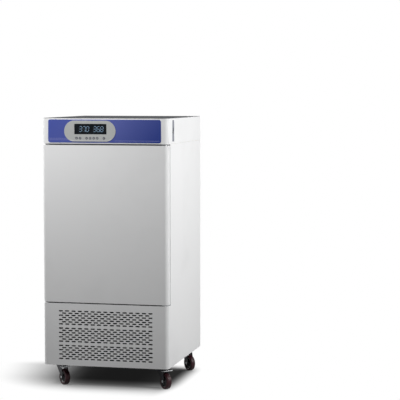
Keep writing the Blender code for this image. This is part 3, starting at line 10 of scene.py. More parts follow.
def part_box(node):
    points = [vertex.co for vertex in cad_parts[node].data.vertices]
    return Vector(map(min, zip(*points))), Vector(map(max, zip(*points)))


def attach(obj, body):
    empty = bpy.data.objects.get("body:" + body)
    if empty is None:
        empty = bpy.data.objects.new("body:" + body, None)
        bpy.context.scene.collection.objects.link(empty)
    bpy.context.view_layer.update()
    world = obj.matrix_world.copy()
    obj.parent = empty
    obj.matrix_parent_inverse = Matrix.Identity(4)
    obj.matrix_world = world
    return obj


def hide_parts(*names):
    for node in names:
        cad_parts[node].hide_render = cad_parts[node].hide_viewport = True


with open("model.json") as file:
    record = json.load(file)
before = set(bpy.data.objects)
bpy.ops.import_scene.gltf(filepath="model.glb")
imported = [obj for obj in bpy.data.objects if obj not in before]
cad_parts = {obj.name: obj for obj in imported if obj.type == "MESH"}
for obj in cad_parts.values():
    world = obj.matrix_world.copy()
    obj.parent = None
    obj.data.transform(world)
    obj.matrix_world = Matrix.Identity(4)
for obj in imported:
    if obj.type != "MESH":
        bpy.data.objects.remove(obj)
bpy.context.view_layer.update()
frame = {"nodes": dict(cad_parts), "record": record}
nodes = frame["nodes"]
bodyOf = {node: body for body, group in frame["record"]["behaviour"]["bodies"].items() for node in group}
slotOf = {entry["node"]: entry["material_slot"] for entry in frame["record"]["subparts"]}
print("frame loaded:", len(nodes), "nodes")


# Materials: a small wrapper, so that shader maths reads as plain Python

class Wire:  # one output socket of a material
    def __init__(self, finish, socket):
        self.finish = finish
        self.socket = socket

    def maths(self, operation, first, second=0.0):
        return self.finish.node("ShaderNodeMath", {"operation": operation}, (first, second))

    def __add__(self, other):
        return self.maths("ADD", self, other)

    def __sub__(self, other):
        return self.maths("SUBTRACT", self, other)

    def __rsub__(self, other):
        return self.maths("SUBTRACT", other, self)

    def __mul__(self, other):
        return self.maths("MULTIPLY", self, other)

    def __pow__(self, other):
        return self.maths("POWER", self, other)

    def __gt__(self, other):
        return self.maths("GREATER_THAN", self, other)

    def __lt__(self, other):
        return self.maths("LESS_THAN", self, other)

    def __abs__(self):
        return self.maths("ABSOLUTE", self)

    __radd__ = __add__
    __rmul__ = __mul__


class Finish:  # one material and the nodes in it
    def __init__(self, name, slot=None):
        self.material = bpy.data.materials.new(name)
        self.material.use_nodes = True
        self.tree = self.material.node_tree
        self.shader = self.tree.nodes["Principled BSDF"]
        self.slot = slot
        self.where = self.node("ShaderNodeTexCoord", output="Object")

    def node(self, kind, settings=None, values=(), output=0):
        made = self.tree.nodes.new(kind)
        for key, value in (settings or {}).items():
            if key == "stops":
                ramp = made.color_ramp
                while len(ramp.elements) < len(value):
                    ramp.elements.new(0.5)
                for element, (place, shade) in zip(ramp.elements, value):
                    element.position = place
                    element.color = (*shade, 1) if isinstance(shade, tuple) else (shade, shade, shade, 1)
            else:
                setattr(made, key, value)
        pairs = values.items() if isinstance(values, dict) else enumerate(values)
        for name, value in pairs:
            self.feed(made.inputs[name], value)
        return Wire(self, made.outputs[output])

    def feed(self, socket, value):
        if isinstance(value, Wire):
            self.tree.links.new(value.socket, socket)
        elif isinstance(value, tuple) and len(value) == 3 and socket.type == "RGBA":
            socket.default_value = (*value, 1)
        else:
            socket.default_value = value

    def set(self, **values):  # the shader's sockets, with _ for a space
        for name, value in values.items():
            self.feed(self.shader.inputs[name.replace("_", " ")], value)
        return self

    def noise(self, scale, detail=2.0, stretch=(1, 1, 1)):
        place = self.where
        if stretch != (1, 1, 1):
            place = self.node("ShaderNodeMapping", {}, {"Vector": self.where, "Scale": stretch})
        values = {"Vector": place, "Scale": scale, "Detail": detail}
        return self.node("ShaderNodeTexNoise", {}, values, "Fac")

    def ramp(self, factor, stops):
        return self.node("ShaderNodeValToRGB", {"stops": stops}, {"Fac": factor}, "Color")

    def mix(self, factor, first, second):
        return self.node("ShaderNodeMix", {"data_type": "RGBA"}, {0: factor, 6: first, 7: second}, 2)

    def axis(self, name):
        return self.node("ShaderNodeSeparateXYZ", {}, (self.where,), name)

    def spread(self, value, low, high, toLow=0.0, toHigh=1.0):
        values = (value, low, high, toLow, toHigh)
        return self.node("ShaderNodeMapRange", {"clamp": True}, values)

    def bump(self, height, distance, strength=1.0):
        values = {"Height": height, "Distance": distance, "Strength": strength}
        return self.set(Normal=self.node("ShaderNodeBump", {}, values, "Normal"))


def shade(colour, factor):
    return tuple(channel * factor for channel in colour)


baseShadeInside = {  # painted shade: the inside of the base compartment is coloured near black; its dust colour is this painted shade
    "dust": (0.012, 0.012, 0.013), "half": 0.2990, "front": -0.3268, "back": 0.3252,
    "low": 0.1065, "high": 0.3985, "corner": (0.2815, -0.3090),
}


def shadedCompartment(finish):  # painted shade mask: 1 inside the base, behind its front panel, and 0 outside it
    x, y, z = (finish.axis(name) for name in "XYZ")
    cornerX, cornerY = baseShadeInside["corner"]
    corner = (abs(x) > cornerX) * (y < cornerY)  # the outside of the rounded front corners
    within = (abs(x) < baseShadeInside["half"]) * (y > baseShadeInside["front"]) * (y < baseShadeInside["back"])
    return within * (z > baseShadeInside["low"]) * (z < baseShadeInside["high"]) * (1.0 - corner)


powderCoat = {
    "colour": (0.80, 0.803, 0.806), "roughness": 0.46, "peel": 620, "depth": 0.00012, "cloud": 4.5,
    "speck": 2400, "darkerBelow": (0.10, 0.22), "dirtAndLowerDarkening": 0.55, "lacquer": 0.06, "gloss": 0.32,
}


def makePowderCoat():
    coat = Finish("powderCoat", "white_paint")
    peel = coat.noise(powderCoat["peel"], 1.5)
    cloud = coat.noise(powderCoat["cloud"], 3)
    speck = coat.noise(powderCoat["speck"], 1)
    lowerDarkening = coat.spread(coat.axis("Z"), *powderCoat["darkerBelow"], 0.10, 0.0)  # darker towards the bottom
    # random dirt patches together with the darkening towards the bottom
    dirtAndLowerDarkening = coat.spread(cloud + lowerDarkening, 0.50, 0.95, 0.0, powderCoat["dirtAndLowerDarkening"])
    colour = coat.mix(dirtAndLowerDarkening, powderCoat["colour"], shade(powderCoat["colour"], 0.86))
    specks = coat.spread(speck, 0.66, 0.80, 0.0, 0.35)
    colour = coat.mix(specks, colour, shade(powderCoat["colour"], 0.93))
    # painted shade: the paint turns near black inside the base compartment
    coat.set(Base_Color=coat.mix(shadedCompartment(coat), colour, baseShadeInside["dust"]))
    coat.set(Roughness=powderCoat["roughness"] + coat.spread(cloud, 0.3, 0.7, -0.05, 0.07))
    coat.set(Coat_Weight=powderCoat["lacquer"], Coat_Roughness=0.25, Specular_IOR_Level=powderCoat["gloss"])
    return coat.bump(peel, powderCoat["depth"], 0.35)


# painted shade: the top plate is coloured dark grey for the shade seen on its top face; the dust flecks are
# real dust
shadedTopPaint = {"colour": (0.112, 0.115, 0.122), "dust": (0.17, 0.17, 0.17), "roughness": 0.62, "peel": 700}


def makeShadedTopPaint():
    coat = Finish("shadedTopPaint", "dark_paint")
    cloud = coat.noise(6, 4)
    dust = coat.spread(coat.noise(160, 3) * coat.noise(9, 2), 0.22, 0.42, 0.0, 0.35)
    roughness = shadedTopPaint["roughness"] + coat.spread(cloud, 0.3, 0.7, -0.06, 0.10)
    coat.set(Base_Color=coat.mix(dust, shadedTopPaint["colour"], shadedTopPaint["dust"]), Roughness=roughness)
    coat.set(Specular_IOR_Level=0.0)
    return coat.bump(coat.noise(shadedTopPaint["peel"], 1.5), 0.0001, 0.4)


panelFilm = {
    "left": (0.046, 0.070, 0.310), "middle": (0.072, 0.094, 0.320), "right": (0.012, 0.031, 0.200),
    "fleck": (0.11, 0.12, 0.38), "across": (-0.277, 0.269), "up": (1.143, 1.249), "slant": -0.16,
    "grain": 1500, "roughness": 0.42, "gloss": 0.25,
}


def makePanelFilm():
    film = Finish("panelFilm", "blue_panel")
    across = film.spread(film.axis("X"), *panelFilm["across"])
    up = film.spread(film.axis("Z"), *panelFilm["up"])
    sweep = across + (up - 0.5) * panelFilm["slant"] + (film.noise(9, 2) - 0.5) * 0.05
    stops = [(0.0, panelFilm["left"]), (0.55, panelFilm["middle"]), (1.0, panelFilm["right"])]
    grain = film.noise(panelFilm["grain"], 2)
    flecks = film.spread(grain, 0.45, 0.75, 0.0, 0.12)
    film.set(Base_Color=film.mix(flecks, film.ramp(sweep, stops), panelFilm["fleck"]))
    film.set(Roughness=panelFilm["roughness"] + film.spread(grain, 0.3, 0.7, 0.0, 0.10))
    film.set(Specular_IOR_Level=panelFilm["gloss"])
    return film.bump(grain, 0.00004, 0.3)


bezelLacquer = {
    "colour": (0.34, 0.35, 0.345), "flake": (0.47, 0.48, 0.47), "flakes": 2600, "roughness": 0.34,
    "metal": 0.35,
}


def makeBezelLacquer():
    lacquer = Finish("bezelLacquer", "silver_bezel")
    flake = lacquer.noise(bezelLacquer["flakes"], 1)
    cloud = lacquer.noise(14, 2)
    flaked = lacquer.spread(flake, 0.45, 0.75, 0.0, 0.45)
    clouded = lacquer.spread(cloud, 0.35, 0.7, 0.0, 0.2)
    colour = lacquer.mix(flaked, bezelLacquer["colour"], bezelLacquer["flake"])
    colour = lacquer.mix(clouded, colour, shade(bezelLacquer["colour"], 0.85))
    roughness = bezelLacquer["roughness"] + lacquer.spread(flake, 0.3, 0.7, -0.05, 0.08)
    lacquer.set(Base_Color=colour, Roughness=roughness, Metallic=bezelLacquer["metal"])
    return lacquer.bump(flake, 0.00003, 0.25)


displayLens = {
    "clean": (0.004, 0.006, 0.008), "smeared": (0.010, 0.014, 0.018), "roughness": 0.10, "gloss": 0.06,
}


def makeLens():
    lens = Finish("displayLens", "display_lens")
    smear = lens.noise(30, 3)
    lens.set(Base_Color=lens.mix(lens.spread(smear, 0.4, 0.8), displayLens["clean"], displayLens["smeared"]))
    lens.set(Roughness=displayLens["roughness"] + lens.spread(smear, 0.35, 0.75, 0.0, 0.12))
    return lens.set(Specular_IOR_Level=displayLens["gloss"])


def makeGlow(name, colour, strength):  # the display's segments: lit, and unlit with a faint painted glow
    glow = Finish(name, "display_lens")
    flicker = glow.noise(900, 1)
    lit = glow.mix(glow.spread(flicker, 0.35, 0.7), shade(colour, 0.75), colour)
    return glow.set(Base_Color=lit, Emission_Color=lit, Emission_Strength=strength, Roughness=0.3)


def makePlastic(name, slot, colour, roughness, grain=1400, depth=0.00004):
    plastic = Finish(name, slot)
    spark = plastic.noise(grain, 2)
    cloud = plastic.noise(11, 3)
    tone = plastic.mix(plastic.spread(cloud, 0.35, 0.75, 0.0, 0.5), colour, shade(colour, 0.84))
    plastic.set(Base_Color=tone, Roughness=roughness + plastic.spread(spark, 0.3, 0.7, -0.05, 0.08))
    return plastic.bump(spark, depth, 0.5)


def makeRubber(name, slot, colour, roughness=0.62):
    rubber = Finish(name, slot)
    grain = rubber.noise(1100, 3)
    dust = rubber.spread(rubber.noise(26, 4), 0.46, 0.78, 0.0, 0.55)
    rubber.set(Base_Color=rubber.mix(dust, colour, shade(colour, 2.2)))
    rubber.set(Roughness=roughness + rubber.spread(grain, 0.3, 0.7, -0.08, 0.10))
    return rubber.bump(grain, 0.00008, 0.5)


tyreRed = (0.026, 0.004, 0.007)


def makeTyre():  # dark red polyurethane, dulled where it rolls
    tyre = Finish("wheelTread", "wheel_tread")
    grain = tyre.noise(1300, 3)
    scuff = tyre.spread(tyre.noise(60, 4), 0.50, 0.78, 0.0, 0.5)
    tyre.set(Base_Color=tyre.mix(scuff, tyreRed, shade(tyreRed, 1.9)), Specular_IOR_Level=0.22)
    tyre.set(Roughness=0.40 + tyre.spread(grain, 0.3, 0.7, -0.06, 0.12))
    return tyre.bump(grain, 0.00006, 0.4)


def makeBrushed(name, slot, colour, stretch, roughness=0.28):  # fine scratches along one axis
    steel = Finish(name, slot)
    line = steel.noise(90, 4, stretch)
    cloud = steel.noise(7, 3)
    tone = steel.mix(steel.spread(line, 0.35, 0.7), shade(colour, 0.92), colour)
    tone = steel.mix(steel.spread(cloud, 0.4, 0.75, 0.0, 0.3), tone, shade(colour, 0.88))
    steel.set(Base_Color=tone, Metallic=1.0, Roughness=roughness + steel.spread(line, 0.3, 0.7, -0.04, 0.08))
    return steel.bump(line, 0.00001, 0.25)


def makeZinc(name, slot, colour=(0.42, 0.43, 0.44), roughness=0.36):  # plated steel with its pale bloom
    zinc = Finish(name, slot)
    bloom = zinc.node("ShaderNodeTexVoronoi", {}, {"Vector": zinc.where, "Scale": 110}, "Distance")
    cloud = zinc.noise(35, 4)
    tone = zinc.mix(zinc.spread(bloom, 0.1, 0.8), colour, shade(colour, 1.3))
    tone = zinc.mix(zinc.spread(cloud, 0.5, 0.8, 0.0, 0.6), tone, shade(colour, 0.55))
    zinc.set(Base_Color=tone, Metallic=0.9, Roughness=roughness + zinc.spread(cloud, 0.3, 0.75, -0.06, 0.20))
    return zinc.bump(zinc.noise(900, 2), 0.00004, 0.4)


cutFoam = {"pit": (0.50, 0.38, 0.17), "skin": (0.78, 0.66, 0.40), "aged": (0.62, 0.47, 0.22), "cells": 420}


def makeFoam():
    foam = Finish("cutFoam", "insulation_foam")
    values = {"Vector": foam.where, "Scale": cutFoam["cells"]}
    cell = foam.node("ShaderNodeTexVoronoi", {}, values, "Distance")
    cloud = foam.noise(18, 4)
    tone = foam.mix(foam.spread(cell, 0.05, 0.7), cutFoam["pit"], cutFoam["skin"])
    tone = foam.mix(foam.spread(cloud, 0.4, 0.75, 0.0, 0.4), tone, cutFoam["aged"])
    # painted shade: the foam turns near black inside the base compartment
    foam.set(Base_Color=foam.mix(shadedCompartment(foam), tone, baseShadeInside["dust"]), Roughness=0.92)
    return foam.bump(cell, 0.0006, 0.7)


safetyGlass = {"colour": (0.86, 0.93, 0.91), "clear": 0.92, "bends": 1.45, "roughness": 0.02}


def makeGlass():
    glass = Finish("safetyGlass", "glass")
    smear = glass.noise(12, 3)
    glass.set(Base_Color=safetyGlass["colour"], Transmission_Weight=safetyGlass["clear"])
    glass.set(IOR=safetyGlass["bends"])
    return glass.set(Roughness=safetyGlass["roughness"] + glass.spread(smear, 0.4, 0.75, 0.0, 0.05))


circuitBoard = {"mask": (0.012, 0.075, 0.030), "track": (0.03, 0.16, 0.06), "tracks": 210, "roughness": 0.35}


def makeBoard():
    board = Finish("circuitBoard", "circuit_board")
    where = board.node("ShaderNodeMapping", {}, {"Vector": board.where, "Scale": (1, 0.2, 1)})
    values = {"Vector": where, "Scale": circuitBoard["tracks"]}
    cell = board.node("ShaderNodeTexVoronoi", {"distance": "MANHATTAN"}, values, "Distance")
    track = board.spread(cell, 0.42, 0.5)
    board.set(Base_Color=board.mix(track, circuitBoard["mask"], circuitBoard["track"]))
    board.set(Roughness=circuitBoard["roughness"] + track * 0.1)
    return board.bump(track, 0.00005, 0.5)


finishes = {
    "white_paint": makePowderCoat(),
    "dark_paint": makeShadedTopPaint(),
    "blue_panel": makePanelFilm(),
    "silver_bezel": makeBezelLacquer(),
    "display_lens": makeLens(),
    "key_plastic": makePlastic("keyPlastic", "key_plastic", (0.028, 0.030, 0.055), 0.46),
    "circuit_board": makeBoard(),
    "black_plastic": makePlastic("blackPlastic", "black_plastic", (0.022, 0.022, 0.024), 0.42),
    "grey_plastic": makePlastic("greyPlastic", "grey_plastic", (0.14, 0.15, 0.19), 0.40),
    "white_plastic": makePlastic("whitePlastic", "white_plastic", (0.74, 0.75, 0.75), 0.36, 500, 0.00008),
    "insulation_foam": makeFoam(),
    "seal_rubber": makeRubber("doorSealRubber", "seal_rubber", (0.055, 0.055, 0.058)),
    "glass_seal_rubber": makeRubber("glassSealRubber", "glass_seal_rubber", (0.40, 0.41, 0.42), 0.5),
    "stainless_steel": makeBrushed("stainlessSteel", "stainless_steel", (0.60, 0.61, 0.62), (1, 1, 14)),
    "zinc_steel": makeZinc("zincSteel", "zinc_steel"),
    "coil_fins": makeBrushed("coilFins", "coil_fins", (0.72, 0.73, 0.74), (14, 14, 1), 0.34),
    "glass": makeGlass(),
    "wheel_tread": makeTyre(),
    "compressor_paint": makePlastic(
        "compressorEnamel", "compressor_paint", (0.018, 0.018, 0.020), 0.30, 700, 0.0001
    ),
}
glowBlue = makeGlow("segmentGlow", (0.15, 0.24, 0.34), 0.42)
# painted glow: the unlit segments get a faint emission
faintGlowUnlit = makeGlow("segmentGhost", (0.008, 0.018, 0.026), 0.05)
printWhite = makePlastic("panelPrint", "blue_panel", (0.30, 0.31, 0.55), 0.35)
printDark = makePlastic("keyPrint", "key_plastic", (0.03, 0.033, 0.07), 0.4)
printPale = makePlastic("keyFace", "key_plastic", (0.36, 0.37, 0.37), 0.36)
# painted shade: zinc made near black for the forks, mounts, base tray and condenser shroud, which sit in
# shade
shadeDarkZinc = makeZinc("zincPaintedShade", "zinc_steel", (0.028, 0.028, 0.031), 0.48)
hubBlack = makePlastic("hubBlack", "wheel_tread", (0.016, 0.016, 0.018), 0.36, 900, 0.00008)
coilBlack = makePlastic("coilBlack", "coil_fins", (0.010, 0.010, 0.011), 0.6, 900, 0.00006)
print("materials made:", len(bpy.data.materials))


# Pieces

meshing = {"merge": 0.00002, "flat": 0.6, "sharp": 40, "smooth": 32}  # metres, then degrees


def bake(piece):  # keeps what the piece's modifiers make, as its mesh
    made = bpy.data.meshes.new_from_object(piece.evaluated_get(bpy.context.evaluated_depsgraph_get()))
    piece.modifiers.clear()
    old = piece.data
    piece.data = made
    bpy.data.meshes.remove(old)


def shadeFlatly(piece):  # rounded edges stay smooth and the large faces stay flat
    piece.data.shade_smooth()
    piece.data.set_sharp_from_angle(angle=math.radians(meshing["smooth"]))
    step = piece.modifiers.new("normals", "WEIGHTED_NORMAL")
    step.keep_sharp = True
    step.weight = 100
    bake(piece)


def meshPiece(name, bm, finish, body, replaced=()):
    mesh = bpy.data.meshes.new(name)
    bm.to_mesh(mesh)
    bm.free()
    mesh.materials.append(finish.material)
    piece = bpy.data.objects.new(name, mesh)
    bpy.context.scene.collection.objects.link(piece)
    shadeFlatly(piece)
    if replaced:
        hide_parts(*replaced)
    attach(piece, body)
    return piece


def bevelEdges(bm, edges, width, segments=2):
    if edges:
        bmesh.ops.bevel(
            bm, geom=edges, offset=width, segments=segments, profile=0.5, affect="EDGES", material=-1,
            clamp_overlap=True,
        )


def sharpEdges(bm, angle=meshing["sharp"]):
    least = math.radians(angle)
    return [edge for edge in bm.edges if len(edge.link_faces) == 2 and edge.calc_face_angle(0) > least]


def mergedCopy(node):
    bm = bmesh.new()
    bm.from_mesh(nodes[node].data)
    bmesh.ops.remove_doubles(bm, verts=bm.verts, dist=meshing["merge"])
    bmesh.ops.dissolve_limit(bm, angle_limit=math.radians(meshing["flat"]), verts=bm.verts, edges=bm.edges)
    return bm


def softened(node, width, segments=2, finish=None):  # a CAD node's shape with its edges rounded
    bm = mergedCopy(node)
    bevelEdges(bm, sharpEdges(bm), width, segments)
    return meshPiece(node + "Soft", bm, finish or finishes[slotOf[node]], bodyOf[node], [node])


def boxInto(bm, low, high):
    low, high = Vector(low), Vector(high)
    size = Matrix.Diagonal((*(high - low), 1))
    made = bmesh.ops.create_cube(bm, matrix=Matrix.Translation((low + high) / 2) @ size)
    return made["verts"]


def rodInto(bm, centre, radius, length, axis="Z", sides=24):
    turn = {"X": Matrix.Rotation(math.pi / 2, 4, "Y"), "Y": toY, "Z": Matrix()}[axis]
    made = bmesh.ops.create_cone(
        bm, cap_ends=True, segments=sides, radius1=radius, radius2=radius, depth=length,
        matrix=Matrix.Translation(centre) @ turn,
    )
    return made["verts"]


def longEdges(verts, axis, least):  # the edges at verts that reach further than least along an axis
    found = {edge for vert in verts for edge in vert.link_edges}
    return [edge for edge in found if abs(getattr(edge.verts[0].co - edge.verts[1].co, axis)) > least]


def carve(piece, bm):  # cuts the shapes in bm out of a piece, and keeps only its mesh
    mesh = bpy.data.meshes.new("carving")
    bm.to_mesh(mesh)
    bm.free()
    tool = bpy.data.objects.new("carving", mesh)
    bpy.context.scene.collection.objects.link(tool)
    step = piece.modifiers.new("carve", "BOOLEAN")
    step.operation = "DIFFERENCE"
    step.object = tool
    bake(piece)
    bpy.data.objects.remove(tool, do_unlink=True)
    shadeFlatly(piece)


def spot(node):  # lowest corner, highest corner and middle of a CAD node at rest
    low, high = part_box(node)
    return low, high, (low + high) / 2


def turnedInto(bm, profile, steps, place, closed=True):  # spins (radius, height) points round Z
    dots = [bm.verts.new((radius, 0, height)) for radius, height in profile]
    pairs = list(zip(dots, dots[1:]))
    if closed:
        pairs.append((dots[-1], dots[0]))
    edges = [bm.edges.new(pair) for pair in pairs]
    before = set(bm.verts) - set(dots)
    bmesh.ops.spin(
        bm, geom=dots + edges, cent=(0, 0, 0), axis=(0, 0, 1), dvec=(0, 0, 0), angle=2 * math.pi,
        steps=steps, use_merge=True, use_duplicate=False,
    )
    grown = [vert for vert in bm.verts if vert not in before]
    bmesh.ops.transform(bm, matrix=place, verts=grown)
    bmesh.ops.remove_doubles(bm, verts=grown, dist=0.00001)


def closeUp(bm):
    bmesh.ops.recalc_face_normals(bm, faces=bm.faces)
    return bm


toY = Matrix.Rotation(math.pi / 2, 4, "X")  # turns an upright shape so that its top faces -Y
toRear = Matrix.Rotation(-math.pi / 2, 4, "X")  # the same, with its top facing +Y

softWidths = {
    "head_shell": 0.0005, "top_plate": 0.0004, "control_fascia": 0.0004, "outer_case": 0.0005,
    "door_skin": 0.0005, "rear_service_cover": 0.0003, "mouth_frame": 0.0008, "door_liner": 0.0007,
    "door_gasket": 0.0016, "air_duct_panel": 0.0003, "switch_plate": 0.0006,
    "door_hinge_top": 0.0005, "door_hinge_bottom": 0.0005, "glass_hinge_profile": 0.0003,
    "glass_pane": 0.0006, "glass_seal": 0.0008, "power_inlet": 0.0004, "shelf_upper": 0.0003,
    "shelf_lower": 0.0003, "shelf_ladder_left": 0.0006, "shelf_ladder_right": 0.0006,
    "compressor": 0.0008, "fan_motor": 0.0008, "glass_knob": 0.0006,
    "circulation_fan": 0.0003, "condenser_fan": 0.0003, "power_rocker": 0.0006, "door_insulation": 0.0,
}
for node, width in softWidths.items():
    softened(node, width)
softened("condenser", 0.0, finish=coilBlack)
# painted shade: the shroud and the base tray are given the near-black zinc
softened("condenser_shroud", 0.0005, finish=shadeDarkZinc)
softened("base_tray", 0.0004, finish=shadeDarkZinc)
print("sheet metal and mouldings softened")


# Slotted base panel

basePanel = {
    "wall": 0.0012, "corner": 0.017, "cornerSteps": 8, "edge": 0.0006,
    "slot": (0.0206, 0.0063), "pitch": (0.03077, 0.01019), "columns": 15, "rows": 7,
    "bandPitch": 0.0811, "bands": 3, "lowest": 0.0315, "cut": (0.002, 0.004), "slotSteps": 3,
}


def makeBasePanel():
    low, high, middle = spot("base_front_panel")
    bm = bmesh.new()
    boxInto(bm, low, high)
    uprights = longEdges([vert for vert in bm.verts if vert.co.y < middle.y], "z", 0.01)
    bevelEdges(bm, uprights, basePanel["corner"], basePanel["cornerSteps"])
    doomed = [face for face in bm.faces if face.normal.y > 0.9 or face.normal.z < -0.9]
    bmesh.ops.delete(bm, geom=doomed, context="FACES")
    rim = [edge for edge in bm.edges if len(edge.link_faces) == 2 and edge.calc_face_angle(0) > 1.2]
    bevelEdges(bm, rim, basePanel["edge"])
    bmesh.ops.solidify(bm, geom=bm.faces, thickness=basePanel["wall"])
    closeUp(bm)
    panel = meshPiece("slottedBasePanel", bm, finishes["white_paint"], "cabinet", ["base_front_panel"])
    holes = bmesh.new()
    half, tall = (each / 2 for each in basePanel["slot"])
    before, behind = basePanel["cut"]
    for band in range(basePanel["bands"]):
        for row in range(basePanel["rows"]):
            z = low.z + basePanel["lowest"] + band * basePanel["bandPitch"] + row * basePanel["pitch"][1]
            count = basePanel["columns"] - row % 2
            for column in range(count):
                x = (column - (count - 1) / 2) * basePanel["pitch"][0]
                made = boxInto(
                    holes, (x - half, low.y - before, z - tall), (x + half, low.y + behind, z + tall)
                )
                ends = longEdges(made, "y", before + behind - 0.001)
                bevelEdges(holes, ends, tall * 0.98, basePanel["slotSteps"])
    carve(panel, holes)


makeBasePanel()
print("slotted base panel made")


# Bezel, display and keys on the blue panel

bezel = {"steps": 96, "edge": 0.0008, "rim": 0.0030, "drop": 0.0005, "slope": 0.0006, "play": 0.0003}


def makeBezel():
    low, high, middle = spot("display_bezel")
    radius = (high.z - low.z) / 2
    reach = (high.x - low.x) / 2 - radius
    bm = bmesh.new()
    bmesh.ops.create_circle(
        bm, cap_ends=True, segments=bezel["steps"], radius=radius, matrix=Matrix.Translation(middle) @ toY
    )
    right = [vert for vert in bm.verts if vert.co.x > middle.x]
    left = [vert for vert in bm.verts if vert.co.x < middle.x]
    bmesh.ops.translate(bm, verts=right, vec=(reach, 0, 0))
    bmesh.ops.translate(bm, verts=left, vec=(-reach, 0, 0))
    bmesh.ops.translate(bm, verts=bm.verts, vec=(0, high.y - middle.y, 0))
    grown = bmesh.ops.extrude_face_region(bm, geom=bm.faces[:])["geom"]
    front = [part for part in grown if isinstance(part, bmesh.types.BMVert)]
    bmesh.ops.translate(bm, verts=front, vec=(0, low.y - high.y, 0))
    closeUp(bm)
    face = min(bm.faces, key=lambda each: each.calc_center_median().y)
    bevelEdges(bm, list(face.edges), bezel["edge"], 3)
    face = max(bm.faces, key=lambda each: each.calc_area() if each.normal.y < -0.9 else 0)
    for inset, push in ((bezel["rim"], 0.0), (bezel["slope"], bezel["drop"])):
        bmesh.ops.inset_region(bm, faces=[face], thickness=inset, use_even_offset=True)
        bmesh.ops.translate(bm, verts=face.verts, vec=(0, push, 0))
    piece = meshPiece("stadiumBezel", bm, finishes["silver_bezel"], "cabinet", ["display_bezel"])
    holes = bmesh.new()
    windowLow, windowHigh = spot("display_window")[:2]
    play = Vector((bezel["play"], 0, bezel["play"]))
    boxInto(holes, windowLow - play - Vector((0, 0.01, 0)), windowHigh + play)
    for number in range(1, len(keys["signs"]) + 1):
        centre = spot("key_%d" % number)[2]
        rodInto(holes, (centre.x, middle.y, centre.z), keys["hole"], 0.02, "Y", 40)
    carve(piece, holes)


keys = {
    "hole": 0.0060, "cap": 0.0052, "flange": 0.0062, "face": 0.0033, "stem": 0.002, "dish": 0.0004,
    "flangeAt": (-0.0033, -0.0043), "print": 0.0002, "steps": 40, "sign": 0.0021,
    "signs": ["left", "ring", "set", "up", "down", "right", "power"],
}
signThick = 0.00012


def signInto(bm, sign, size):  # a plain sign in XY, facing +Z
    def bar(x0, y0, x1, y1):
        boxInto(bm, (x0 * size, y0 * size, 0), (x1 * size, y1 * size, signThick))

    if sign == "on":
        bar(-0.16, -0.9, 0.16, 0.9)
    elif sign in ("left", "right", "up", "down"):
        turn = {"right": -90, "up": 0, "left": 90, "down": 180}[sign]
        bmesh.ops.create_cone(
            bm, cap_ends=True, segments=3, radius1=size, radius2=size * 0.96, depth=2 * signThick,
            matrix=Matrix.Rotation(math.radians(turn), 4, "Z"),
        )
    elif sign == "set":
        for place in (-0.62, 0.0, 0.62):
            bar(-0.75, place - 0.14, 0.75, place + 0.14)
    else:
        inner, outer = size * 0.62, size * 0.9
        turnedInto(bm, [(inner, 0), (outer, 0), (outer, signThick), (inner, signThick)], 24, Matrix())
        if sign == "power":
            bar(-0.14, 0.25, 0.14, 1.1)


def makeKeys():
    for number, sign in enumerate(keys["signs"], 1):
        node = "key_%d" % number
        low, high, middle = spot(node)
        place = Matrix.Translation((middle.x, low.y, middle.z)) @ toY
        depth = high.y - low.y
        bm = bmesh.new()
        cap, flange, stem = keys["cap"], keys["flange"], keys["stem"]
        face, dish, printed = keys["face"], keys["dish"], keys["print"]
        upper, lower = keys["flangeAt"]
        profile = [(0, -dish), (face - 0.0002, -dish), (face, 0), (cap - 0.0005, 0)]
        profile += [(cap - 0.0001, -0.0002), (cap, -0.0005), (cap, upper), (flange, upper)]
        profile += [(flange, lower), (stem, lower), (stem, -depth), (0, -depth)]
        turnedInto(bm, profile, keys["steps"], place, closed=False)
        meshPiece(node + "Cap", closeUp(bm), finishes["key_plastic"], bodyOf[node], [node])
        bm = bmesh.new()
        edge = face - 0.0003
        turnedInto(bm, [(0, -printed), (edge, -printed), (edge, -dish), (0, -dish)], 32, place, closed=False)
        meshPiece(node + "Face", closeUp(bm), printPale, bodyOf[node])
        bm = bmesh.new()
        signInto(bm, sign, keys["sign"])
        bmesh.ops.transform(bm, matrix=place @ Matrix.Translation((0, 0, -printed)), verts=bm.verts)
        meshPiece(node + "Sign", closeUp(bm), printDark, bodyOf[node])


digits = {
    "groups": ((-0.0535, "370"), (0.0150, "368")), "height": 0.0235, "width": 0.0125, "pitch": 0.0168,
    "stroke": 0.0024, "lean": 0.10, "deep": 0.0002,
    "bars": {
        "0": "abcdef", "1": "bc", "2": "abged", "3": "abgcd", "4": "fgbc",
        "5": "afgcd", "6": "afgedc", "7": "abc", "8": "abcdefg", "9": "abcdfg",
    },
}


def barInto(bm, start, end, stroke):  # one six-sided bar of a digit, in XY
    way = Vector(end) - Vector(start)
    middle = (Vector(start) + Vector(end)) / 2
    turn = Matrix.Rotation(math.atan2(way.y, way.x), 4, "Z")
    size = Matrix.Diagonal((way.length - stroke * 1.1, stroke, digits["deep"], 1))
    made = bmesh.ops.create_cube(bm, matrix=Matrix.Translation((*middle, 0)) @ turn @ size)["verts"]
    bevelEdges(bm, longEdges(made, "z", digits["deep"] / 2), stroke * 0.49, 1)


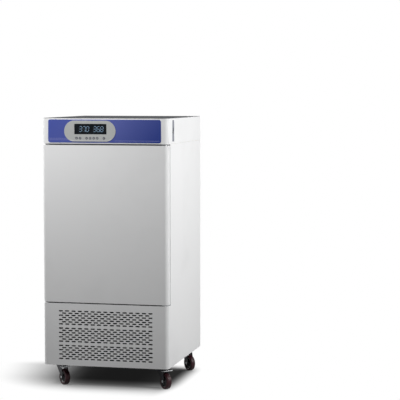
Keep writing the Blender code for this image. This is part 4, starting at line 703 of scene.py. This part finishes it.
def makeDisplay():
    softened("display_window", 0.0005, 3)
    low, middle = spot("display_window")[::2]
    lit, unlit = bmesh.new(), bmesh.new()
    tall, wide = digits["height"], digits["width"]
    corners = {
        "a": ((0, tall), (wide, tall)), "b": ((wide, tall), (wide, tall / 2)),
        "c": ((wide, tall / 2), (wide, 0)), "d": ((0, 0), (wide, 0)), "e": ((0, 0), (0, tall / 2)),
        "f": ((0, tall / 2), (0, tall)), "g": ((0, tall / 2), (wide, tall / 2)),
    }
    for start, number in digits["groups"]:
        for place, figure in enumerate(number):
            for name, (first, last) in corners.items():
                target = lit if name in digits["bars"][figure] else unlit
                shift = Vector((start + place * digits["pitch"], -tall / 2))
                barInto(target, Vector(first) + shift, Vector(last) + shift, digits["stroke"])
        dot = start + 2 * digits["pitch"] - (digits["pitch"] - wide) / 2
        rodInto(lit, (dot, -tall / 2, 0), digits["stroke"] * 0.6, digits["deep"], "Z", 12)
    lean = Matrix(((1, digits["lean"], 0, 0), (0, 1, 0, 0), (0, 0, 1, 0), (0, 0, 0, 1)))
    seat = Matrix.Translation((middle.x, low.y - digits["deep"] / 2, middle.z)) @ toY @ lean
    for name, bm, finish in (("litDigits", lit, glowBlue), ("unlitDigits", unlit, faintGlowUnlit)):
        bmesh.ops.transform(bm, matrix=seat, verts=bm.verts)
        meshPiece(name, closeUp(bm), finish, "cabinet")


panelLines = {"thick": 0.0009, "deep": 0.00015, "left": (0.012, 0.019), "right": (0.0085,), "margin": 0.006}


def makePanelLines():
    low, high = spot("control_fascia")[:2]
    bezelLow, bezelHigh, centre = spot("display_bezel")
    bm = bmesh.new()
    front = low.y
    for rise in panelLines["left"]:
        z = low.z + rise
        slack = (bezelHigh.z - bezelLow.z) / 2
        edge = bezelLow.x + slack - math.sqrt(max(slack ** 2 - (z - centre.z) ** 2, 0)) - 0.004
        boxInto(bm, (low.x + panelLines["margin"], front - panelLines["deep"], z),
                (edge, front, z + panelLines["thick"]))
    for rise in panelLines["right"]:
        z = low.z + rise
        boxInto(bm, (bezelHigh.x - 0.004, front - panelLines["deep"], z),
                (high.x - panelLines["margin"], front, z + panelLines["thick"]))
    meshPiece("panelLines", closeUp(bm), printWhite, "cabinet")


makeBezel()
makeKeys()
makeDisplay()
makePanelLines()
print("bezel, keys and display made")


# Casters

casters = {
    "turn": -46, "plate": 0.0028, "bolt": (0.0045, 0.0030), "boltPlace": 0.0225, "nut": (0.0062, 0.0024),
    "nutPlace": 0.0181, "edge": 0.0004, "steps": 48,
    "tread": [
        (0.0258, 0.0108), (0.0272, 0.0119), (0.0300, 0.0125), (0.0338, 0.0122), (0.0362, 0.0104),
        (0.0373, 0.0076), (0.0375, 0.0040),
    ],
    "hub": [
        (0.0043, 0.0140), (0.0100, 0.0140), (0.0112, 0.0130), (0.0118, 0.0085), (0.0150, 0.0066),
        (0.0215, 0.0066), (0.0236, 0.0090), (0.0244, 0.0104), (0.0258, 0.0108),
    ],
    "spokes": 5, "spoke": ((0.0105, -0.0014, -0.0100), (0.0243, 0.0014, 0.0100)),
}


def mirrored(profile):
    return profile + [(radius, -height) for radius, height in reversed(profile)]


def makeCasters():
    for end in ("front_left", "front_right", "rear_left", "rear_right"):
        centre = spot("caster_wheel_" + end)[2]
        place = Matrix.Translation(centre) @ Matrix.Rotation(math.radians(casters["turn"]), 4, "Z") @ toY
        body = "wheel_" + end
        bm = bmesh.new()
        turnedInto(bm, mirrored(casters["tread"]), casters["steps"], place)
        meshPiece("tread_" + end, closeUp(bm), finishes["wheel_tread"], body, ["caster_wheel_" + end])
        bm = bmesh.new()
        turnedInto(bm, mirrored(casters["hub"]), casters["steps"], Matrix())
        for number in range(casters["spokes"]):
            made = boxInto(bm, *casters["spoke"])
            turn = Matrix.Rotation(2 * math.pi * number / casters["spokes"], 4, "Z")
            bmesh.ops.transform(bm, matrix=turn, verts=made)
        bmesh.ops.transform(bm, matrix=place, verts=bm.verts)
        meshPiece("hub_" + end, closeUp(bm), hubBlack, body)
        # painted shade: the fork and the mount are given the near-black zinc
        softened("caster_fork_" + end, 0.0007, finish=shadeDarkZinc)
        softened("caster_mount_" + end, 0.0005, finish=shadeDarkZinc)
        high, middle = spot("caster_mount_" + end)[1:]
        bm = bmesh.new()
        boltZ = high.z - casters["plate"] - 0.0014
        for x in (middle.x - casters["boltPlace"], middle.x + casters["boltPlace"]):
            for y in (middle.y - casters["boltPlace"], middle.y + casters["boltPlace"]):
                rodInto(bm, (x, y, boltZ), *casters["bolt"], "Z", 6)
        bevelEdges(bm, sharpEdges(bm), casters["edge"])
        meshPiece("plateBolts_" + end, closeUp(bm), finishes["zinc_steel"], "cabinet")
        bm = bmesh.new()
        for z in (-casters["nutPlace"], casters["nutPlace"]):
            rodInto(bm, (0, 0, z), *casters["nut"], "Z", 6)
        bevelEdges(bm, sharpEdges(bm), casters["edge"])
        bmesh.ops.transform(bm, matrix=place, verts=bm.verts)
        meshPiece("axleNuts_" + end, closeUp(bm), finishes["zinc_steel"], "fork_" + end)
        if end.startswith("front"):
            softened("brake_pedal_" + end, 0.0006, finish=finishes["zinc_steel"])


makeCasters()
print("casters made")


# Rear cover, duct and switch details

rearCover = {
    "rows": 8, "slot": (0.150, 0.006), "pitch": 0.020, "spread": 0.090, "depth": 0.0080, "sheet": 0.0007,
    "lap": 0.0008, "overhang": 0.0024, "bend": 15, "edge": 0.0060, "screwInset": 0.016,
}
screw = {"radius": 0.0033, "rise": 0.0007, "cross": (0.0019, 0.0003)}


def prismInto(bm, outline, left, right):  # an outline of (y, z) points, drawn out along X
    face = bm.faces.new([bm.verts.new((left, y, z)) for y, z in outline])
    grown = bmesh.ops.extrude_face_region(bm, geom=[face])["geom"]
    moved = [part for part in grown if isinstance(part, bmesh.types.BMVert)]
    bmesh.ops.translate(bm, verts=moved, vec=(right - left, 0, 0))


def makeScrews(name, places, turn):  # pan heads with a cross, on a face that the turn points at
    heads, crosses = bmesh.new(), bmesh.new()
    radius, rise = screw["radius"], screw["rise"]
    profile = [(0, 0), (radius, 0), (radius, rise * 0.35), (radius * 0.72, rise * 0.85)]
    profile += [(radius * 0.4, rise), (0, rise)]
    long, wide = screw["cross"]
    for number, place in enumerate(places):
        seat = Matrix.Translation(place) @ turn @ Matrix.Rotation(number * 0.7, 4, "Z")
        turnedInto(heads, profile, 24, seat, closed=False)
        for reach in ((long, wide), (wide, long)):
            made = boxInto(crosses, (-reach[0], -reach[1], rise * 0.9), (reach[0], reach[1], rise * 1.04))
            bmesh.ops.transform(crosses, matrix=seat, verts=made)
    meshPiece(name + "Heads", closeUp(heads), finishes["zinc_steel"], "cabinet")
    meshPiece(name + "Crosses", closeUp(crosses), finishes["black_plastic"], "cabinet")


def makeRearCover():
    low, high, middle = spot("rear_service_cover")
    half, tall = (each / 2 for each in rearCover["slot"])
    bm = bmesh.new()
    drop = 2 * tall + rearCover["overhang"]
    angles = [math.radians(turn) for turn in range(0, 91, rearCover["bend"])]
    for row in range(rearCover["rows"]):
        top = middle.z + (row - (rearCover["rows"] - 1) / 2) * rearCover["pitch"] + tall + rearCover["lap"]
        arcs = []
        for sheet in (0.0, rearCover["sheet"]):
            depth, start = rearCover["depth"] - sheet, top - sheet
            arcs.append([(low.y - depth * math.sin(a), start - drop * (1 - math.cos(a))) for a in angles])
        cheek = arcs[0] + [(low.y, arcs[0][-1][1])]
        for side in (-1, 1):
            x = middle.x + side * rearCover["spread"]
            prismInto(bm, arcs[0] + arcs[1][::-1], x - half, x + half)
            prismInto(bm, cheek, x - half - rearCover["sheet"], x - half)
            prismInto(bm, cheek, x + half, x + half + rearCover["sheet"])
    meshPiece("louvreHoods", closeUp(bm), finishes["white_paint"], "cabinet")
    edge, inset = rearCover["edge"], rearCover["screwInset"]
    places = [(x, high.y, z) for z in (low.z + edge, high.z - edge)
              for x in (low.x + inset, middle.x, high.x - inset)]
    places += [(x, high.y, middle.z) for x in (low.x + edge, high.x - edge)]
    makeScrews("rearCover", places, toRear)


fanGuard = {
    "rings": (0.013, 0.025, 0.037, 0.049, 0.061), "wire": 0.0009, "wireSides": 8, "steps": 48,
    "reach": 0.0665, "feet": (45, 135, 225, 315), "panelInset": (0.012, 0.020),
}


def makeDuctDetails():
    low, high, middle = spot("air_duct_panel")
    height = spot("circulation_fan")[2].z
    wire, reach = fanGuard["wire"], fanGuard["reach"]
    circle = [2 * math.pi * step / fanGuard["wireSides"] for step in range(fanGuard["wireSides"])]
    bm = bmesh.new()
    for radius in fanGuard["rings"]:
        profile = [(radius + wire * math.cos(a), wire * math.sin(a)) for a in circle]
        turnedInto(bm, profile, fanGuard["steps"], Matrix.Translation((0, low.y - 3 * wire, height)) @ toY)
    for turn in fanGuard["feet"][:2]:
        made = rodInto(bm, (0, 0, 0), wire, 2 * reach, "X", 10)
        seat = Matrix.Translation((0, low.y - wire, height)) @ Matrix.Rotation(math.radians(turn), 4, "Y")
        bmesh.ops.transform(bm, matrix=seat, verts=made)
    meshPiece("fanGuard", closeUp(bm), finishes["zinc_steel"], "cabinet")
    places = []
    for a in map(math.radians, fanGuard["feet"]):
        places.append((reach * math.cos(a), low.y - 2 * wire, height + reach * math.sin(a)))
    inX, inZ = fanGuard["panelInset"]
    for x in (low.x + inX, high.x - inX):
        places += [(x, low.y, z) for z in (low.z + inZ, middle.z, high.z - inZ)]
    makeScrews("duct", places, toY)


rockerSigns = {"size": 0.0024, "apart": 0.27}  # apart: from the middle, as a share of the rocker's height


def makeRockerSigns():
    low, high, middle = spot("power_rocker")
    reach = (high.z - low.z) * rockerSigns["apart"]
    shape = mergedCopy("power_rocker")
    surface = BVHTree.FromBMesh(shape)
    shape.free()
    bm = bmesh.new()
    for sign, z in (("on", middle.z + reach), ("ring", middle.z - reach)):
        place, normal = surface.ray_cast((high.x + 0.02, middle.y, z), (-1, 0, 0))[:2]
        part = bmesh.new()
        signInto(part, sign, rockerSigns["size"])
        seat = Matrix.Translation(place) @ normal.to_track_quat("Z", "Y").to_matrix().to_4x4()
        bmesh.ops.transform(part, matrix=seat, verts=part.verts)
        made = bpy.data.meshes.new("sign")
        part.to_mesh(made)
        part.free()
        bm.from_mesh(made)
        bpy.data.meshes.remove(made)
    meshPiece("rockerSigns", closeUp(bm), finishes["white_plastic"], bodyOf["power_rocker"])


makeRearCover()
makeDuctDetails()
makeRockerSigns()
print("rear cover, duct and switch details made")


# What keeps its CAD mesh still gets its finish
for node, piece in nodes.items():
    piece.data.materials.clear()
    piece.data.materials.append(finishes[slotOf[node]].material)


# Stage, camera and light

# painted shadow: left, right, front and rear set where a dark patch on the floor under and around the
# cabinet fades out; it is darkest at its middle, and its left edge slants
stage = {
    "size": 8.0, "tone": 0.93, "bounce": 0.04, "shadowDarkest": 0.045, "whiteNear": 0.22, "shadowTilt": 0.18,
    "left": (-0.175, -0.665), "right": (0.232, 0.335), "front": (-0.08, -0.475), "rear": (0.18, 0.36),
}


def makeStage():
    bm = bmesh.new()
    bmesh.ops.create_grid(bm, x_segments=1, y_segments=1, size=stage["size"])
    mesh = bpy.data.meshes.new("floor")
    bm.to_mesh(mesh)
    bm.free()
    floor = bpy.data.objects.new("floor", mesh)
    bpy.context.scene.collection.objects.link(floor)
    paper = Finish("studioPaper")
    grain = paper.noise(30, 2)
    pale, black = (stage["tone"],) * 3, (0.0, 0.0, 0.0)
    across, along = paper.axis("X"), paper.axis("Y")
    slanted = across + along * stage["shadowTilt"]
    sideways = paper.spread(slanted, *stage["left"]) + paper.spread(across, *stage["right"])
    ahead = paper.spread(along, *stage["front"]) + paper.spread(along, *stage["rear"])
    shadowDistance = (sideways * sideways + ahead * ahead) ** 0.5
    soft = {"interpolation_type": "SMOOTHSTEP"}
    # painted shadow: the floor's colour and its white glow are darkened by this patch
    paintedShadowLightness = paper.node("ShaderNodeMapRange", soft, (shadowDistance, 0.0, 1.0, stage["shadowDarkest"], 1.0))
    tone = paper.mix(paintedShadowLightness, black, paper.mix(grain, pale, shade(pale, 0.985)))
    seen = paper.node("ShaderNodeBsdfDiffuse", {}, {"Color": tone}, "BSDF")
    dull = paper.node("ShaderNodeBsdfDiffuse", {}, {"Color": (stage["bounce"],) * 3}, "BSDF")
    glow = paper.mix(paintedShadowLightness, black, (1.0, 1.0, 1.0))
    shadowedWhite = paper.node("ShaderNodeEmission", {}, {"Color": glow, "Strength": 1.0}, "Emission")
    fade = paper.spread(shadowDistance, 0.3, 1.0, stage["whiteNear"], 1.0)
    shown = paper.node("ShaderNodeMixShader", {}, (fade, seen, shadowedWhite), "Shader")
    camera = paper.node("ShaderNodeLightPath", output="Is Camera Ray")
    glossy = paper.node("ShaderNodeLightPath", output="Is Glossy Ray")
    through = paper.node("ShaderNodeLightPath", output="Is Transmission Ray")
    looked = camera.maths("MAXIMUM", camera.maths("MAXIMUM", camera, glossy), through)
    above = paper.node("ShaderNodeMixShader", {}, (looked, dull, shown), "Shader")
    beneath = paper.node("ShaderNodeNewGeometry", output="Backfacing")
    clear = paper.node("ShaderNodeBsdfTransparent", output="BSDF")
    result = paper.node("ShaderNodeMixShader", {}, (beneath, above, clear), "Shader")
    paper.tree.links.new(result.socket, paper.tree.nodes["Material Output"].inputs["Surface"])
    mesh.materials.append(paper.material)


camera = {"place": (1.9493, -6.8476, 1.3765), "turn": 12.96, "pitch": 4.179, "lens": 133.39, "sensor": 36}


def makeCamera():
    data = bpy.data.cameras.new("camera")
    data.lens = camera["lens"]
    data.sensor_width = camera["sensor"]
    seen = bpy.data.objects.new("camera", data)
    seen.location = camera["place"]
    seen.rotation_euler = (math.radians(90 - camera["pitch"]), 0, math.radians(camera["turn"]))
    bpy.context.scene.collection.objects.link(seen)
    bpy.context.scene.camera = seen


lamps = {
    "sideSoftbox": {
        "place": (2.5, -0.36, 1.72), "target": (0.3, -0.05, 0.85), "size": (0.9, 1.1), "power": 57,
    },
    "frontSoftbox": {
        "place": (-0.68, -1.66, 2.12), "target": (-0.05, -0.33, 0.80), "size": (0.9, 0.5), "power": 29.5,
    },
    "leftSoftbox": {"place": (-2.6, 0.4, 2.2), "target": (-0.3, 0.1, 0.7), "size": (1.6, 1.6), "power": 45},
    "rearSoftbox": {"place": (0.3, 2.6, 2.6), "target": (0.0, 0.3, 0.7), "size": (1.8, 1.6), "power": 50},
}
world = {"light": 0.12, "seen": 1.0}  # what lights the cabinet, and what shows behind it


def makeLights():
    for name, spec in lamps.items():
        data = bpy.data.lights.new(name, "AREA")
        data.shape = "RECTANGLE"
        data.size, data.size_y = spec["size"]
        data.energy = spec["power"]
        lamp = bpy.data.objects.new(name, data)
        lamp.location = spec["place"]
        lamp.visible_camera = False
        way = Vector(spec["target"]) - Vector(spec["place"])
        lamp.rotation_euler = way.to_track_quat("-Z", "Y").to_euler()
        bpy.context.scene.collection.objects.link(lamp)
    room = bpy.data.worlds.new("studio")
    room.use_nodes = True
    sky, join = room.node_tree.nodes, room.node_tree.links.new
    light, seen = sky["Background"], sky.new("ShaderNodeBackground")
    for part, strength in ((light, world["light"]), (seen, world["seen"])):
        part.inputs["Color"].default_value = (1, 1, 1, 1)
        part.inputs["Strength"].default_value = strength
    rays = sky.new("ShaderNodeLightPath").outputs
    looked = rays["Is Camera Ray"]
    for ray in ("Is Transmission Ray", "Is Glossy Ray"):
        either = sky.new("ShaderNodeMath")
        either.operation = "MAXIMUM"
        join(looked, either.inputs[0])
        join(rays[ray], either.inputs[1])
        looked = either.outputs[0]
    both = sky.new("ShaderNodeMixShader")
    for number, socket in enumerate((looked, light.outputs[0], seen.outputs[0])):
        join(socket, both.inputs[number])
    join(both.outputs[0], sky["World Output"].inputs[0])
    bpy.context.scene.world = room


makeStage()
makeCamera()
makeLights()
bpy.context.scene.view_settings.view_transform = "Standard"
print("stage, camera and light set")
